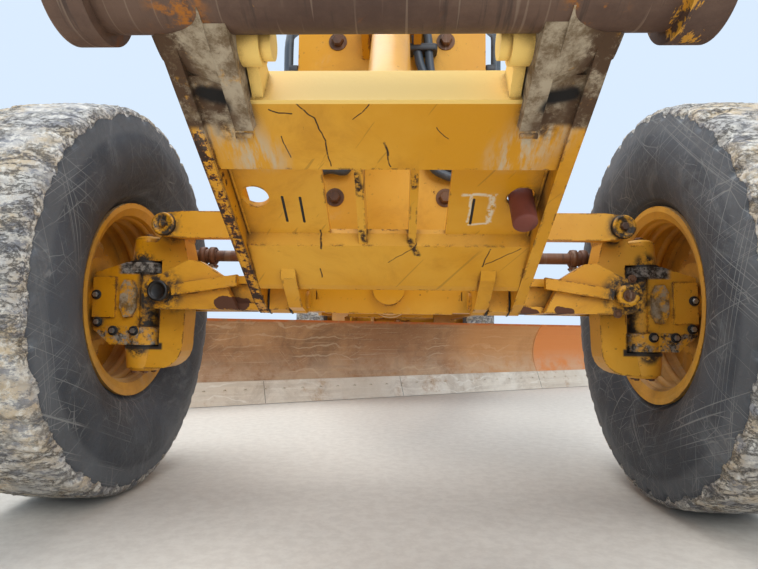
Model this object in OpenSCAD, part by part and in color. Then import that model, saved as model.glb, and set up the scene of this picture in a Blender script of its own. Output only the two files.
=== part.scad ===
// Articulated motor grader with a front lift frame, in millimetres.
// +X is the right of a viewer facing the nose, +Y runs from nose to tail, and Z is 0 on the ground.
// Places along the machine are measured from the front axle, and the origin is under its middle.

/* [Wheels] */
// Outer radius of a tyre, out to its lugs
tyre_r = 680; // [640:5:720]
// Widest section of a tyre
tyre_w = 384; // [360:2:400]
// Radius of the rim's flange
rim_r = 345; // [330:5:360]
// Width between the rim's outer faces
rim_w = 270; // [250:5:280]
// Middle of a front wheel from the centre line
front_wheel_x = 1055; // [1045:5:1080]
// Middle of a rear wheel from the centre line
rear_wheel_x = 1035; // [1030:5:1060]

/* [Layout] */
// Front axle to the middle of the tandems
wheelbase = 6120; // [6100:10:6250]
// Distance between the two axles of a tandem
tandem_base = 1524; // [1500:4:1560]
// Front axle to the middle of the circle
circle_y = 3220; // [3180:10:3240]
// Front axle to the articulation pivot
pivot_y = 4930; // [4910:5:4960]
// Front axle to the rear face of the bumper
tail_y = 7750; // [7700:10:7850]

/* [Front axle] */
// Height of the beam's centre pin and of the lean pivots
beam_z = 700; // [690:5:710]
// Lean pivot from the centre line
lean_x = 772; // [764:2:776]
// Height of the lean bar's pins above the lean pivots
lean_rise = 230; // [224:2:232]
// Kingpin from the centre line
kingpin_x = 885; // [880:1:890]
// Radius of a kingpin
kingpin_r = 34; // [28:1:38]
// Length of a steering arm, kingpin to ball
arm_y = 190; // [185:1:195]
// Height of the tie rod
tie_z = 865; // [858:1:870]
// Depth of the axle beam
beam_h = 116; // [100:2:120]

/* [Lift frame] */
// Hinge of the lift frame ahead of the front axle
hitch_y = -400; // [-405:1:-395]
// Height of that hinge
hitch_z = 665; // [655:1:675]
// Angle of the raised frame above the ground
hitch_angle = 32; // [28:1:36]
// Outer half width of the frame
hitch_x = 366; // [350:2:370]
// Hinge to the middle of the cross tube, along the frame
tube_run = 880; // [860:5:900]
// Radius of the cross tube
tube_r = 72; // [66:1:76]
// Half length of the cross tube
tube_half = 495; // [480:5:520]

/* [Blade] */
// Angle of the blade across the machine at rest
blade_angle = 30; // [28:1:32]
// Height of the moldboard and its cutting edge
blade_h = 640; // [620:5:650]
// Length of the moldboard, with its extension
blade_l = 4880; // [4600:20:4900]
// Thickness of the moldboard plate
blade_t = 22; // [18:1:26]
// Outer radius of the circle
circle_r = 765; // [740:5:780]
// Bottom of the circle above the ground
circle_z = 745; // [735:5:755]

/* [Cab and hood] */
// Half width of the cab
cab_x = 760; // [740:5:780]
// Height of the cab's roof
cab_top = 3380; // [3340:10:3420]
// Half width of the hood
hood_x = 520; // [500:5:540]
// Height of the hood at its front
hood_top = 2150; // [2100:10:2180]

/* [Hidden] */
$fn = 64;

yellow = [0.80, 0.52, 0.06];
rust = [0.27, 0.19, 0.15];
rubber = [0.10, 0.10, 0.11];
steel = [0.62, 0.62, 0.60];
worn = [0.50, 0.33, 0.20];
grey = [0.18, 0.18, 0.19];
clear = [0.60, 0.72, 0.78, 0.35];

// Running clearance round a pin, the clearance of a seat, and the gap between faces that pass
run = 0.1;
seat = 0.3;
gap = 6;
eps = 1;

// Front end of the machine: the cross tube's foremost line
tube_lift = -20 * cos(hitch_angle);
tube_y = hitch_y - tube_run * cos(hitch_angle) + tube_lift * sin(hitch_angle);
collar_r = tube_r + 18;
nose_reach = collar_r - tube_y;
axle_y = (nose_reach - tail_y) / 2;

// Helpers

module at_axle() translate([0, axle_y, 0]) children();
module both_sides() {
    children();
    mirror([1, 0, 0]) children();
}
module plate(low, high) translate(low) cube(high - low);
// A round bar between two points
module bar(p, q, r) {
    d = q - p;
    l = norm(d);
    translate(p) rotate([0, acos(d.z / l), atan2(d.y, d.x)]) cylinder(h = l, r = r);
}
// A round bar along X, Y or Z
module bar_x(x0, x1, y, z, r) translate([x0, y, z]) rotate([0, 90, 0]) cylinder(h = x1 - x0, r = r);
module bar_y(y0, y1, x, z, r) translate([x, y1, z]) rotate([90, 0, 0]) cylinder(h = y1 - y0, r = r);
module bar_z(z0, z1, x, y, r) translate([x, y, z0]) cylinder(h = z1 - z0, r = r);
// A flat outline in the Y-Z plane, extruded from x0 to x1
module side_plate(points, x0, x1)
    translate([x0, 0, 0]) rotate([90, 0, 90]) linear_extrude(x1 - x0) polygon(points);
// A flat outline in the X-Z plane, extruded from y0 to y1
module front_plate(points, y0, y1)
    translate([0, y1, 0]) rotate([90, 0, 0]) linear_extrude(y1 - y0) polygon(points);

// Hydraulic cylinders. Each runs from its barrel's eye to its rod's eye, and both eyes turn about X,
// unless they are turned by roll. The barrel is bored, so the rod slides in it.

module aim(p, q, roll) {
    d = q - p;
    l = norm(d);
    translate(p) rotate([0, acos(d.z / l), atan2(d.y, d.x)]) rotate([0, 0, roll]) children();
}
module cylinder_barrel(p, q, length, r, rod_r, roll = 0, eye_r = 40, eye_w = 50, pin_r = 20) {
    aim(p, q, roll) difference() {
        union() {
            translate([0, 0, eye_r * 0.8]) cylinder(h = length - eye_r * 0.8, r = r);
            translate([0, 0, length - 40]) cylinder(h = 46, r = r + 6);
            rotate([0, 90, 0]) translate([0, 0, -eye_w / 2]) cylinder(h = eye_w, r = eye_r);
        }
        translate([0, 0, eye_r * 2]) cylinder(h = length, r = rod_r + run);
        rotate([0, 90, 0]) translate([0, 0, -eye_w]) cylinder(h = eye_w * 2, r = pin_r + run);
    }
}
module cylinder_rod(p, q, length, rod_r, roll = 0, eye_r = 36, eye_w = 44, pin_r = 20) {
    total = norm(q - p);
    aim(p, q, roll) difference() {
        union() {
            translate([0, 0, total - length]) cylinder(h = length - eye_r * 0.8, r = rod_r);
            translate([0, 0, total]) rotate([0, 90, 0]) translate([0, 0, -eye_w / 2])
                cylinder(h = eye_w, r = eye_r);
        }
        translate([0, 0, total]) rotate([0, 90, 0]) translate([0, 0, -eye_w])
            cylinder(h = eye_w * 2, r = pin_r + run);
    }
}

// Wheels. Each is drawn about its own middle with its outer side towards +X.

tread_half = 162;
bead_r = rim_r - 38;
flange_t = 14;
disc_t = 22;
module tyre_shape() {
    rotate([0, 90, 0]) rotate_extrude($fn = 96) {
        half = tyre_w / 2;
        bead = rim_w / 2 - flange_t;
        polygon([[bead_r, bead], [rim_r + 4, bead], [rim_r + 30, bead + 26],
            [tyre_r * 0.66, half - 7], [tyre_r * 0.74, half], [tyre_r * 0.82, half - 5],
            [tyre_r - 46, tread_half + 12], [tyre_r - 16, tread_half + 2],
            [tyre_r - 4, tread_half - 20], [tyre_r, 60], [tyre_r, -60],
            [tyre_r - 4, -tread_half + 20], [tyre_r - 16, -tread_half - 2],
            [tyre_r - 46, -tread_half - 12], [tyre_r * 0.82, 5 - half], [tyre_r * 0.74, -half],
            [tyre_r * 0.66, 7 - half], [rim_r + 30, -bead - 26], [rim_r + 4, -bead],
            [bead_r, -bead], [bead_r, -bead + 40], [tyre_r * 0.70, 30 - half],
            [tyre_r - 60, -tread_half], [tyre_r - 48, 0], [tyre_r - 60, tread_half],
            [tyre_r * 0.70, half - 30], [bead_r, bead - 40]]);
    }
}
// The rim with its disc; the hub is bored for the spindle
hub_r = 150;
spindle_r = 62;
module rim_shape(disc_x, hub_in, hub_out) {
    wall = 11;
    half = rim_w / 2;
    lip = half - flange_t + seat;
    base = bead_r - seat;
    rotate([0, 90, 0]) difference() {
        union() {
            // Barrel with its two flanges; the gutter for the lock ring is on the outer side
            rotate_extrude($fn = 96) polygon([[base - wall, 25 - half], [base - 6, 13 - half],
                [rim_r - 18, -half], [rim_r, -half], [rim_r, -lip],
                [base, -lip], [base, lip], [rim_r, lip], [rim_r, half - 10], [rim_r - 10, half],
                [base - wall, half], [base - wall - 8, half - 30], [base - wall - 8, half - 70],
                [base - wall, half - 90]]);
            translate([0, 0, disc_x]) cylinder(h = disc_t, r = base - wall + eps);
            translate([0, 0, disc_x - 26]) cylinder(h = 27, r = hub_r + 46);
            translate([0, 0, hub_in]) cylinder(h = hub_out - hub_in, r = hub_r);
        }
        translate([0, 0, hub_in - eps]) cylinder(h = hub_out - hub_in - 30, r = spindle_r + run);
        // Hand holes through the disc
        for (i = [0 : 7]) rotate([0, 0, i * 45 + 22.5]) translate([210, 0, disc_x - 40])
            cylinder(h = 100, r = 26);
    }
}
front_disc_x = 60;
front_hub_in = 10;
module front_wheel(side) at_axle() translate([side * front_wheel_x, 0, tyre_r])
    rotate([0, 0, side > 0 ? 0 : 180]) children();
module rear_wheel(side, row) at_axle()
    translate([side * rear_wheel_x, wheelbase + (row - 1.5) * tandem_base, tyre_r])
    rotate([0, 0, side > 0 ? 0 : 180]) children();
module front_tyre(side) color(rubber) front_wheel(side) tyre_shape();
module front_rim(side) color(yellow) front_wheel(side) rim_shape(front_disc_x, front_hub_in, 175);
module rear_tyre(side, row) color(rubber) rear_wheel(side, row) tyre_shape();
module rear_rim(side, row) color(yellow) rear_wheel(side, row) rim_shape(front_disc_x, -130, 165);

// Front axle

ear_in = 104;
ear_out = 142;
ear_r = 60;
pin_r = 36;
boss_half = 124;
bolster_r = 72;
bolster_pin_r = 46;
module axle_beam() color(yellow) at_axle() difference() {
    half_h = beam_h / 2;
    end_x = lean_x - 92;
    union() {
        // Box section between the ears, with a wider top and bottom flange
        plate([-end_x, -84, beam_z - half_h], [end_x, 84, beam_z + half_h]);
        plate([-end_x, -ear_in - 4, beam_z + half_h - 26], [end_x, ear_in + 4, beam_z + half_h]);
        plate([-end_x, -ear_in - 4, beam_z - half_h], [end_x, ear_in + 4, beam_z - half_h + 22]);
        // Centre boss round the oscillation pin
        bar_y(-boss_half, boss_half, 0, beam_z, bolster_r + 4);
        both_sides() for (y0 = [-ear_out, ear_in]) {
            bar_y(y0, y0 + ear_out - ear_in, lean_x, beam_z, ear_r);
            front_plate([[end_x - 170, beam_z - half_h], [lean_x, beam_z - ear_r],
                [lean_x, beam_z + ear_r], [lean_x - 90, beam_z + half_h + (y0 < 0 ? 50 : 12)],
                [lean_x - 130, beam_z + half_h + (y0 < 0 ? 46 : 12)], [end_x - 110, beam_z + half_h]],
                y0, y0 + ear_out - ear_in);
        }
        // Ledge across each front ear
        both_sides() front_plate([[end_x - 170, beam_z + 20], [lean_x - 44, beam_z - 14],
            [lean_x - 40, beam_z + 22], [end_x - 170, beam_z + half_h]],
            -ear_out - 22, -ear_out + eps);
        // Lean pins
        both_sides() bar_y(-ear_out - 26, ear_out + 10, lean_x, beam_z, pin_r);
    }
    bar_y(-200, 200, 0, beam_z, bolster_pin_r + run);
}

boss_r = 66;
top_boss_r = 54;
boss_top = 896;
boss_low = 434;
knuckle_top = 808;
knuckle_low = 516;
bar_y0 = -142;
bar_y1 = -102;
bar_end_r = 40;
bar_half = 46;
lean_pin_r = 24;
module lean_casting() {
    spine_in = lean_x - 50;
    spine_out = lean_x + 40;
    low_r = 84;
    difference() {
        union() {
            // Boss on the lean pivot
            bar_y(-ear_in + gap, ear_in - gap, lean_x, beam_z, 54);
            // C-shaped arm, seen from the front, with a round lower corner
            front_plate(concat([[spine_in - 5, beam_z + 110], [spine_in + 14, beam_z + lean_rise - 40],
                [lean_x - 40, beam_z + lean_rise - 20], [lean_x + 40, beam_z + lean_rise - 20],
                [lean_x + 62, boss_top - 14], [kingpin_x, boss_top - 14], [kingpin_x, knuckle_top + gap],
                [spine_out, knuckle_top + gap], [spine_out, knuckle_low - gap],
                [kingpin_x, knuckle_low - gap], [kingpin_x, boss_low]],
                [for (a = [270 : -15 : 180]) [spine_in + 6 + low_r * (1 + cos(a)),
                    boss_low + low_r * (1 + sin(a))]],
                [[spine_in, beam_z - 50]]), -52, 52);
            translate([kingpin_x, 0, knuckle_top + gap])
                cylinder(h = boss_top - knuckle_top - gap, r1 = top_boss_r, r2 = top_boss_r - 6);
            translate([kingpin_x, 0, boss_low])
                cylinder(h = knuckle_low - gap - boss_low, r1 = boss_r - 8, r2 = boss_r);
            // Lug for the lean bar, with its pin
            bar_y(bar_y1 + gap, 0, lean_x, beam_z + lean_rise, bar_end_r);
            bar_y(bar_y0 - 10, bar_y1 + gap + eps, lean_x, beam_z + lean_rise, lean_pin_r);
            // Kingpin
            bar_z(boss_low + 10, boss_top - 10, kingpin_x, 0, kingpin_r);
        }
        bar_y(-200, 200, lean_x, beam_z, pin_r + run);
    }
}
module lean_casting_left() color(yellow) at_axle() mirror([1, 0, 0]) lean_casting();
module lean_casting_right() color(yellow) at_axle() lean_casting();

module lean_bar() color(yellow) at_axle() difference() {
    z = beam_z + lean_rise;
    union() {
        front_plate([[-lean_x, z - bar_end_r], [-lean_x + 60, z - bar_half], [lean_x - 60, z - bar_half],
            [lean_x, z - bar_end_r], [lean_x, z + bar_end_r], [lean_x - 60, z + bar_half],
            [-lean_x + 60, z + bar_half], [-lean_x, z + bar_end_r]], bar_y0, bar_y1);
        both_sides() bar_y(bar_y0, bar_y1, lean_x, z, bar_end_r);
    }
    both_sides() bar_y(bar_y0 - 50, bar_y1 + 50, lean_x, z, lean_pin_r + run);
}

// Knuckle for the right side: kingpin barrel, housing, spindle and steering arm
arm_z = knuckle_top - 6;
lug_out = 65;
housing_x = kingpin_x + 165;
stud_r = 12;
module knuckle() difference() {
    union() {
        // Lugs above and below, and the barrel between them
        bar_z(knuckle_low, knuckle_low + 62, kingpin_x, 0, lug_out);
        bar_z(knuckle_top - 36, knuckle_top, kingpin_x, 0, lug_out);
        bar_z(knuckle_low, knuckle_top, kingpin_x, 0, 46);
        // Housing that reaches into the rim
        front_plate([[kingpin_x, knuckle_low], [kingpin_x + 100, knuckle_low],
            [housing_x, knuckle_low + 54], [housing_x, knuckle_top - 38],
            [kingpin_x + 52, knuckle_top], [kingpin_x, knuckle_top]], -56, 56);
        // Cover in front of the kingpin, and the flange beside it
        front_plate([[kingpin_x + 8, knuckle_low + 130], [kingpin_x + 22, knuckle_low + 100],
            [kingpin_x + 50, knuckle_low + 96], [kingpin_x + 66, knuckle_low + 130],
            [kingpin_x + 66, knuckle_top - 90], [kingpin_x + 52, knuckle_top - 64],
            [kingpin_x + 24, knuckle_top - 66], [kingpin_x + 8, knuckle_top - 96]], -70, -50);
        plate([kingpin_x + 84, -66, knuckle_low + 96], [housing_x, -50, knuckle_top - 54]);
        bar_x(kingpin_x + 40, front_wheel_x + 60, 0, tyre_r, spindle_r);
        // Steering arm: back from the housing, then up to the tie rod's ball
        plate([kingpin_x + 30, 40, knuckle_top - 62], [kingpin_x + 76, 112, knuckle_top - 4]);
        bar([kingpin_x + 53, 96, arm_z - 8], [kingpin_x, arm_y, arm_z], 20);
        bar_z(arm_z - 20, tie_z - 42, kingpin_x, arm_y, 22);
        bar_z(tie_z - 60, tie_z + 26, kingpin_x, arm_y, stud_r);
    }
    bar_z(knuckle_low - 50, knuckle_top + 50, kingpin_x, 0, kingpin_r + run);
}
module knuckle_left() color(yellow) at_axle() mirror([1, 0, 0]) knuckle();
module knuckle_right() color(yellow) at_axle() knuckle();

tie_r = 22;
end_r = 25;
sleeve_h = 14;
module tie_rod_end() color(yellow) at_axle() difference() {
    translate([-kingpin_x, arm_y, tie_z]) sphere(r = end_r);
    bar_z(tie_z - 60, tie_z + 60, -kingpin_x, arm_y, stud_r + run);
}
module tie_rod() color(rust) at_axle() difference() {
    union() {
        // Sleeves round the two balls
        both_sides() bar_z(tie_z - sleeve_h, tie_z + sleeve_h, kingpin_x, arm_y, 32);
        bar_x(-kingpin_x + 28, kingpin_x - 30, arm_y, tie_z, tie_r);
        both_sides() bar_x(kingpin_x - 190, kingpin_x - 120, arm_y, tie_z, 28);
    }
    translate([-kingpin_x, arm_y, tie_z]) sphere(r = end_r + run);
    bar_z(tie_z - 60, tie_z + 60, kingpin_x, arm_y, stud_r + 15);
}

// Front frame: nose, gooseneck and rear mast

nose_y = -350;
nose_x = 286;
nose_top = 1512;
nose_low = beam_z - bolster_r;
neck_x = 150;
neck_z = 1500;
neck_h = 355;
mast_y = 4000;
hinge_r = 56;
module front_frame() color(yellow) at_axle() difference() {
    union() {
        // Nose plate and bolster, with a tunnel for the lean bar under the box
        plate([-nose_x, nose_y, 860], [nose_x, nose_y + 30, nose_top]);
        front_plate([[-nose_x, 861], [-186, nose_low], [186, nose_low], [nose_x, 861]],
            nose_y, nose_y + 30);
        bar_y(nose_y + 20, -boss_half - seat, 0, beam_z, bolster_r);
        plate([-nose_x, nose_y + 20, 1085], [nose_x, 340, nose_top]);
        front_plate([[-220, 1090], [-170, nose_low], [170, nose_low], [220, 1090]], 240, 280);
        bar_y(boss_half + seat, 250, 0, beam_z, bolster_r);
        bar_y(nose_y - 24, 300, 0, beam_z, bolster_pin_r);
        // Ball post for the drawbar
        plate([-90, 270, 720], [90, 330, 1090]);
        bar_y(320, ball_y - 40, 0, ball_z, 42);
        translate([0, ball_y, ball_z]) sphere(r = ball_r);
        // Gooseneck
        side_plate([[300, 1120], [700, 1290], [1900, neck_z], [mast_y + 40, neck_z],
            [mast_y + 40, deck_top], [cab_y0 + 70, deck_top], [cab_y0 - 170, neck_top],
            [2100, neck_top], [820, nose_top + 140], [300, nose_top]], -neck_x, neck_x);
        // Pad for the lamps
        plate([-neck_x, lamp_y - 40, nose_top], [neck_x, lamp_y + 40, lamp_z]);
        // Rear mast down to the hinge
        side_plate([[mast_y, neck_z], [mast_y + 120, 1010], [pivot_y - 300, 900],
            [pivot_y - 190, 900], [pivot_y - 190, deck_top], [mast_y, deck_top]], -230, 230);
        for (z = hinge_levels) {
            bar_z(z, z + hinge_t, 0, pivot_y, hinge_boss);
            plate([-hinge_boss, pivot_y - 200, z], [hinge_boss, pivot_y, z + hinge_t]);
        }
        // Lugs for the articulation cylinders, above and below each rod's eye
        both_sides() for (z = [artic_z - 60, artic_z + 36])
            plate([220, pivot_y - 330, z], [artic_x + 36, pivot_y - 254, z + 24]);
        // Cab deck
        plate([-cab_x + 60, cab_y0 + 110, deck_top - 50], [cab_x - 60, cab_y1 - 20, deck_top]);
        // Lift frame's brackets on the nose, with the strip that joins them
        both_sides() side_plate([[hitch_y - 40, hitch_z - 30], [hitch_y - 40, hitch_z + 40],
            [nose_y + 20, hitch_z + 200], [nose_y + 20, hitch_z - 32], [hitch_y - 10, hitch_z - 40]],
            hitch_x - 88, hitch_x - 34);
        plate([-hitch_x - 14, nose_y, hitch_z - 32], [hitch_x + 14, nose_y + 20, hitch_z + 3]);
        both_sides()
            plate([hitch_x - 150, nose_y, hitch_z - 32], [hitch_x - 30, nose_y + 30, hitch_z + 196]);
        both_sides() plate([160, nose_y, hitch_z + 60], [hitch_x - 60, nose_y + 30, hitch_z + 196]);
        // Pins of the lift frame, and the clevis and pin of its cylinder
        both_sides() bar_x(hinge_lug[0] - 8, hitch_x + 6, hitch_y, hitch_z, hinge_pin_r);
        both_sides() side_plate([[hitch_top.y - 40, hitch_top.z - 40], [hitch_top.y - 40, hitch_top.z + 34],
            [nose_y + 10, nose_top], [nose_y + 10, hitch_top.z - 90]], 66, 88);
        bar_x(-88, 88, hitch_top.y, hitch_top.z, 22);
    }
    bar_z(800, 1600, 0, pivot_y, hinge_r + run);
}
// Steps up to the doors: two hangers under the deck on each side, with three treads
module steps() color(grey) at_axle() both_sides() {
    for (y = step_y) plate([cab_x - 190, y, step_z[0]], [cab_x - 20, y + 12, deck_top - 50 - seat]);
    for (z = step_z) plate([cab_x - 190, step_y[0], z], [cab_x - 20, step_y[1] + 12, z + 24]);
}
deck_top = 1640;
step_y = [3990, 4220];
step_z = [880, 1130, 1380];
hinge_levels = [905, 1480];
hinge_t = 60;
hinge_boss = 118;
ball_y = 440;
ball_z = 800;
ball_r = 62;
artic_x = 360;
artic_z = 1080;

// Lift frame at the nose. It is drawn along its slope: u runs from the hinge to the tube, w is its depth.

hitch_top = [0, nose_y - 70, nose_top - 22];
eye_u = 560;
eye_w = 16;
hitch_eye = [0, hitch_y - eye_u * cos(hitch_angle) + eye_w * sin(hitch_angle),
    hitch_z + eye_u * sin(hitch_angle) + eye_w * cos(hitch_angle)];
hinge_pin_r = 24;
module on_slope() at_axle() translate([0, hitch_y, hitch_z]) rotate([-hitch_angle, 0, 0])
    mirror([0, 1, 0]) children();
// In this frame +Y runs along the slope towards the tube and +Z is the top side
module lift_frame() color(yellow) on_slope() difference() {
    union() {
        // Side rails
        both_sides() side_plate([[0, -lug_r], [60, -52], [tube_run - 150, -66], [tube_run, -66],
            [tube_run, 60], [160, 60], [0, lug_r]], hitch_x - rail_t, hitch_x);
        // Saddles that carry the tube, longer towards the middle
        both_sides() hull() {
            saddle_edge(saddle_u, 90, cradle);
            saddle_edge(saddle_u + 52, 58, hitch_x + 9);
        }
        // Hinge lugs inside the rails
        both_sides() side_plate([[0, -lug_r], [50, -62], [180, -62], [212, -40], [212, 20], [0, lug_r]],
            hinge_lug[0], hinge_lug[1]);
        both_sides() for (x = [hinge_lug, [hitch_x - rail_t, hitch_x]]) bar_x(x[0], x[1], 0, 0, lug_r);
        // Lower cross member, recessed plates and upper box
        side_plate([[120, -50], [141, -52], [285, -40], [300, -14], [300, 0], [262, -18],
            [142, -32], [132, -32], [132, 20], [120, 20]], -hitch_x + 10, hitch_x - 10);
        both_sides() plate([rib_x[1] + 70, 296, -14], [hitch_x - 10, box_u[0] + 10, 0]);
        both_sides() plate([rib_x[0], box_u[0], -box_w + eps], [hitch_x - 10, box_u[0] + 10, 0]);
        difference() {
            plate([-hitch_x + 10, box_u[0], -box_w], [hitch_x - 10, box_u[1], 36]);
            plate([-hitch_x, box_u[0] - 10, 14 - box_w], [hitch_x, box_u[1] - 16, 60]);
        }
        // Ribs of the cylinder's pocket, with the lugs for its eye
        both_sides() side_plate([[120, -40], [box_u[0] + 10, -30], [box_u[0] + 120, -box_w + 8],
            [box_u[0] + 120, 30], [eye_u + 30, eye_w + 40], [eye_u - 30, eye_w + 40], [430, 30],
            [120, 20]], rib_x[0], rib_x[1]);
        // Cradle plates that stand proud of the box, each with a pin boss on its inner side
        both_sides() side_plate([[640, -40], [648, -77], [tube_run - 60, -84], [tube_run, -84],
            [tube_run, 40], [640, 20]], cradle - 34, cradle);
        both_sides() bar_x(206, cradle - 30, boss_u, -22, 38);
        both_sides() bar_x(188, 207, boss_u, -22, 29);
        // Box's lower plate carried on to the saddles
        both_sides() plate([cradle - eps, box_u[1] - 20, -box_w],
            [hitch_x - rail_t + eps, box_u[1] + 48, 14 - box_w]);
        // Gussets from the box up to the pin bosses
        both_sides() side_plate([[box_u[1] - 20, -box_w + 4], [box_u[1] + 60, -40], [box_u[1] + 60, 10],
            [box_u[1] - 20, 30]], 218, 238);
    }
    both_sides() translate([rail_hole, hole_u, -40]) cylinder(h = 80, r = hole_r);
    bar_x(-rail_far, rail_far, 0, 0, hinge_pin_r + run);
    bar_x(-100, 100, eye_u, eye_w, 22 + run);
    bar_x(-rail_far, rail_far, tube_run, tube_lift, tube_r + seat);
}
// One side of a saddle from u0 to the tube, with a round lower face that is deep under the tube
module saddle_edge(u0, deep, x) side_plate(concat(
    [for (a = [180 : 15 : 270]) [u0 + (tube_run - u0) * (1 + cos(a)), -44 + (deep - 44) * sin(a)]],
    [[tube_run, 40], [u0, 40]]), x, x + 1);
saddle_u = 715;
boss_u = 786;
lug_r = 40;
rail_t = 28;
hinge_lug = [233, 270];
cradle = 276;
rib_x = [50, 68];
box_u = [537, 698];
box_w = 55;
rail_hole = 296;
hole_u = 420;
hole_r = 31;
rail_far = 600;
// Pin that is left in the right plate's hole, where it rests on the lower side
lock_r = 27;
module lock_pin() color(rust) on_slope() translate([rail_hole, hole_u - hole_r + lock_r + run, -84]) {
    cylinder(h = 140, r = lock_r);
    scale([1, 1, 0.4]) sphere(r = lock_r);
}
module cross_tube() color(rust) on_slope() union() {
    bar_x(-tube_half, tube_half, tube_run, tube_lift, tube_r);
    both_sides() bar_x(tube_half - 60, tube_half, tube_run, tube_lift, collar_r);
}
module hitch_barrel() color(yellow) at_axle()
    cylinder_barrel(hitch_top, hitch_eye, 500, 52, 30, 90, 42, 128, 22);
module hitch_rod() color(steel) at_axle()
    cylinder_rod(hitch_top, hitch_eye, 590, 30, 90, 38, 84, 22);

// Drawbar, circle and blade

drawbar_z = 850;
drawbar_h = 110;
lift_x = 690;
lift_y = 2990;
lift_z = 1040;
shift_low = [-430, 3170, 1030];
module drawbar() color(yellow) at_axle() difference() {
    union() {
        // Socket on the ball
        bar_x(-70, 70, ball_y, ball_z, 96);
        plate([-90, ball_y + 20, ball_z - 60], [90, ball_y + 240, ball_z + 96]);
        // A-frame
        linear_extrude_at(drawbar_z, drawbar_z + drawbar_h) polygon([[-90, ball_y + 150],
            [90, ball_y + 150], [150, ball_y + 300], [560, circle_y - 740], [640, circle_y - 520],
            [640, circle_y + 520], [-640, circle_y + 520], [-640, circle_y - 520],
            [-560, circle_y - 740], [-150, ball_y + 300]]);
        // Arms to the lift cylinders and their ball studs
        plate([-lift_x - 30, lift_y - 80, drawbar_z + 20], [lift_x + 30, lift_y + 80, lift_z - 60]);
        both_sides()
            plate([lift_x - 84, lift_y - 60, drawbar_z + 100], [lift_x - 62, lift_y + 60, lift_z + 40]);
        // Gearbox of the circle drive
        bar_z(drawbar_z + 60, drawbar_z + 260, 0, circle_y - 560, 130);
        for (y = [shift_low.y - 74, shift_low.y + 54])
            plate([shift_low.x - 40, y, drawbar_z + 60], [shift_low.x + 40, y + 20, shift_low.z + 30]);
        // Shoes that guide the circle from inside
        for (i = [0 : 3]) translate([0, circle_y, 0]) rotate([0, 0, i * 90 + 45])
            plate([circle_r - 180, -70, circle_z + 30], [circle_r - 116, 70, drawbar_z + eps]);
    }
    translate([0, ball_y, ball_z]) sphere(r = ball_r + 1);
    bar_y(ball_y - 200, ball_y, 0, ball_z, 60);
    // Opening of the A-frame
    linear_extrude_at(drawbar_z - 50, drawbar_z + drawbar_h + 1)
        polygon([[-60, ball_y + 420], [60, ball_y + 420], [390, circle_y - 840], [-390, circle_y - 840]]);
    translate([0, circle_y, drawbar_z - 50]) cylinder(h = 400, r = 380);
}
module linear_extrude_at(z0, z1) translate([0, 0, z0]) linear_extrude(z1 - z0) children();

module at_circle() at_axle() translate([0, circle_y, 0]) rotate([0, 0, blade_angle]) children();
arm_half = 560;
tip_y = -150;
tip_z = 215;
rail_z = [200, 560];
circle_h = drawbar_z - circle_z - seat;
module circle_ring() color(yellow) at_circle() difference() {
    union() {
        bar_z(circle_z, circle_z + circle_h, 0, 0, circle_r);
        // Arms down to the blade's tip pivot
        both_sides() side_plate([[-500, circle_z + 20], [-500, circle_z - 30], [tip_y - 10, circle_z - 70],
            [tip_y - 10, tip_z + 140], [tip_y - 40, tip_z], [tip_y + 40, tip_z - 20],
            [tip_y + 130, tip_z + 120], [120, circle_z - 80], [120, circle_z + 20]],
            arm_half - 26, arm_half + 26);
        both_sides() bar_x(arm_half - 26, arm_half + 26, tip_y, tip_z, 45);
        // Beam and clevis for the tip cylinder
        plate([-620, tip_top.y - 40, circle_z - 50], [620, tip_top.y + 40, circle_z + eps]);
        both_sides() plate([44, tip_top.y - 32, tip_top.z - 32], [62, tip_top.y + 32, circle_z - 40]);
        bar_x(-62, 62, tip_top.y, tip_top.z, 16);
    }
    bar_z(circle_z + eps, circle_z + circle_h + 50, 0, 0, circle_r - 110);
    bar_x(-700, 700, tip_y, tip_z, 30 + run);
}

// Moldboard section. Its face is an arc that leads forward at the top and the bottom.
face_y = -270;
face_r = 430;
face_z = 340;
edge_h = 168;
function face_at(z, r, back) = face_y + back - (face_r - sqrt(r * r - (z - face_z) * (z - face_z)));
function arc_points(r, back, z0, z1, n) =
    [for (i = [0 : n]) let (z = z0 + (z1 - z0) * i / n) [face_at(z, r, back), z]];
edge_slope = (face_z - edge_h) / sqrt(face_r * face_r - (face_z - edge_h) * (face_z - edge_h));
module moldboard() color(worn) at_circle() union() {
    low = edge_h - 60;
    bend = face_at(edge_h, face_r, 0);
    side_plate(concat(arc_points(face_r, 0, edge_h, blade_h, 9),
        [[face_at(blade_h, face_r, 0) + blade_t, blade_h]],
        [for (p = arc_points(face_r, 0, blade_h - 20, edge_h, 9)) [p.x + blade_t, p.y]],
        [[bend - edge_slope * 60 + blade_t, low], [bend - edge_slope * 60, low]]),
        left_end, right_end);
    // Slide rails on the back
    for (z = rail_z) plate([-1500, face_at(z, face_r, blade_t) - 6, z - rail_half],
        [1500, shoe_y, z + rail_half]);
}
edge_t = 19;
function on_edge(z, off) = [face_at(edge_h, face_r, 0) - edge_slope * (edge_h - z) - off, z];
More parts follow.
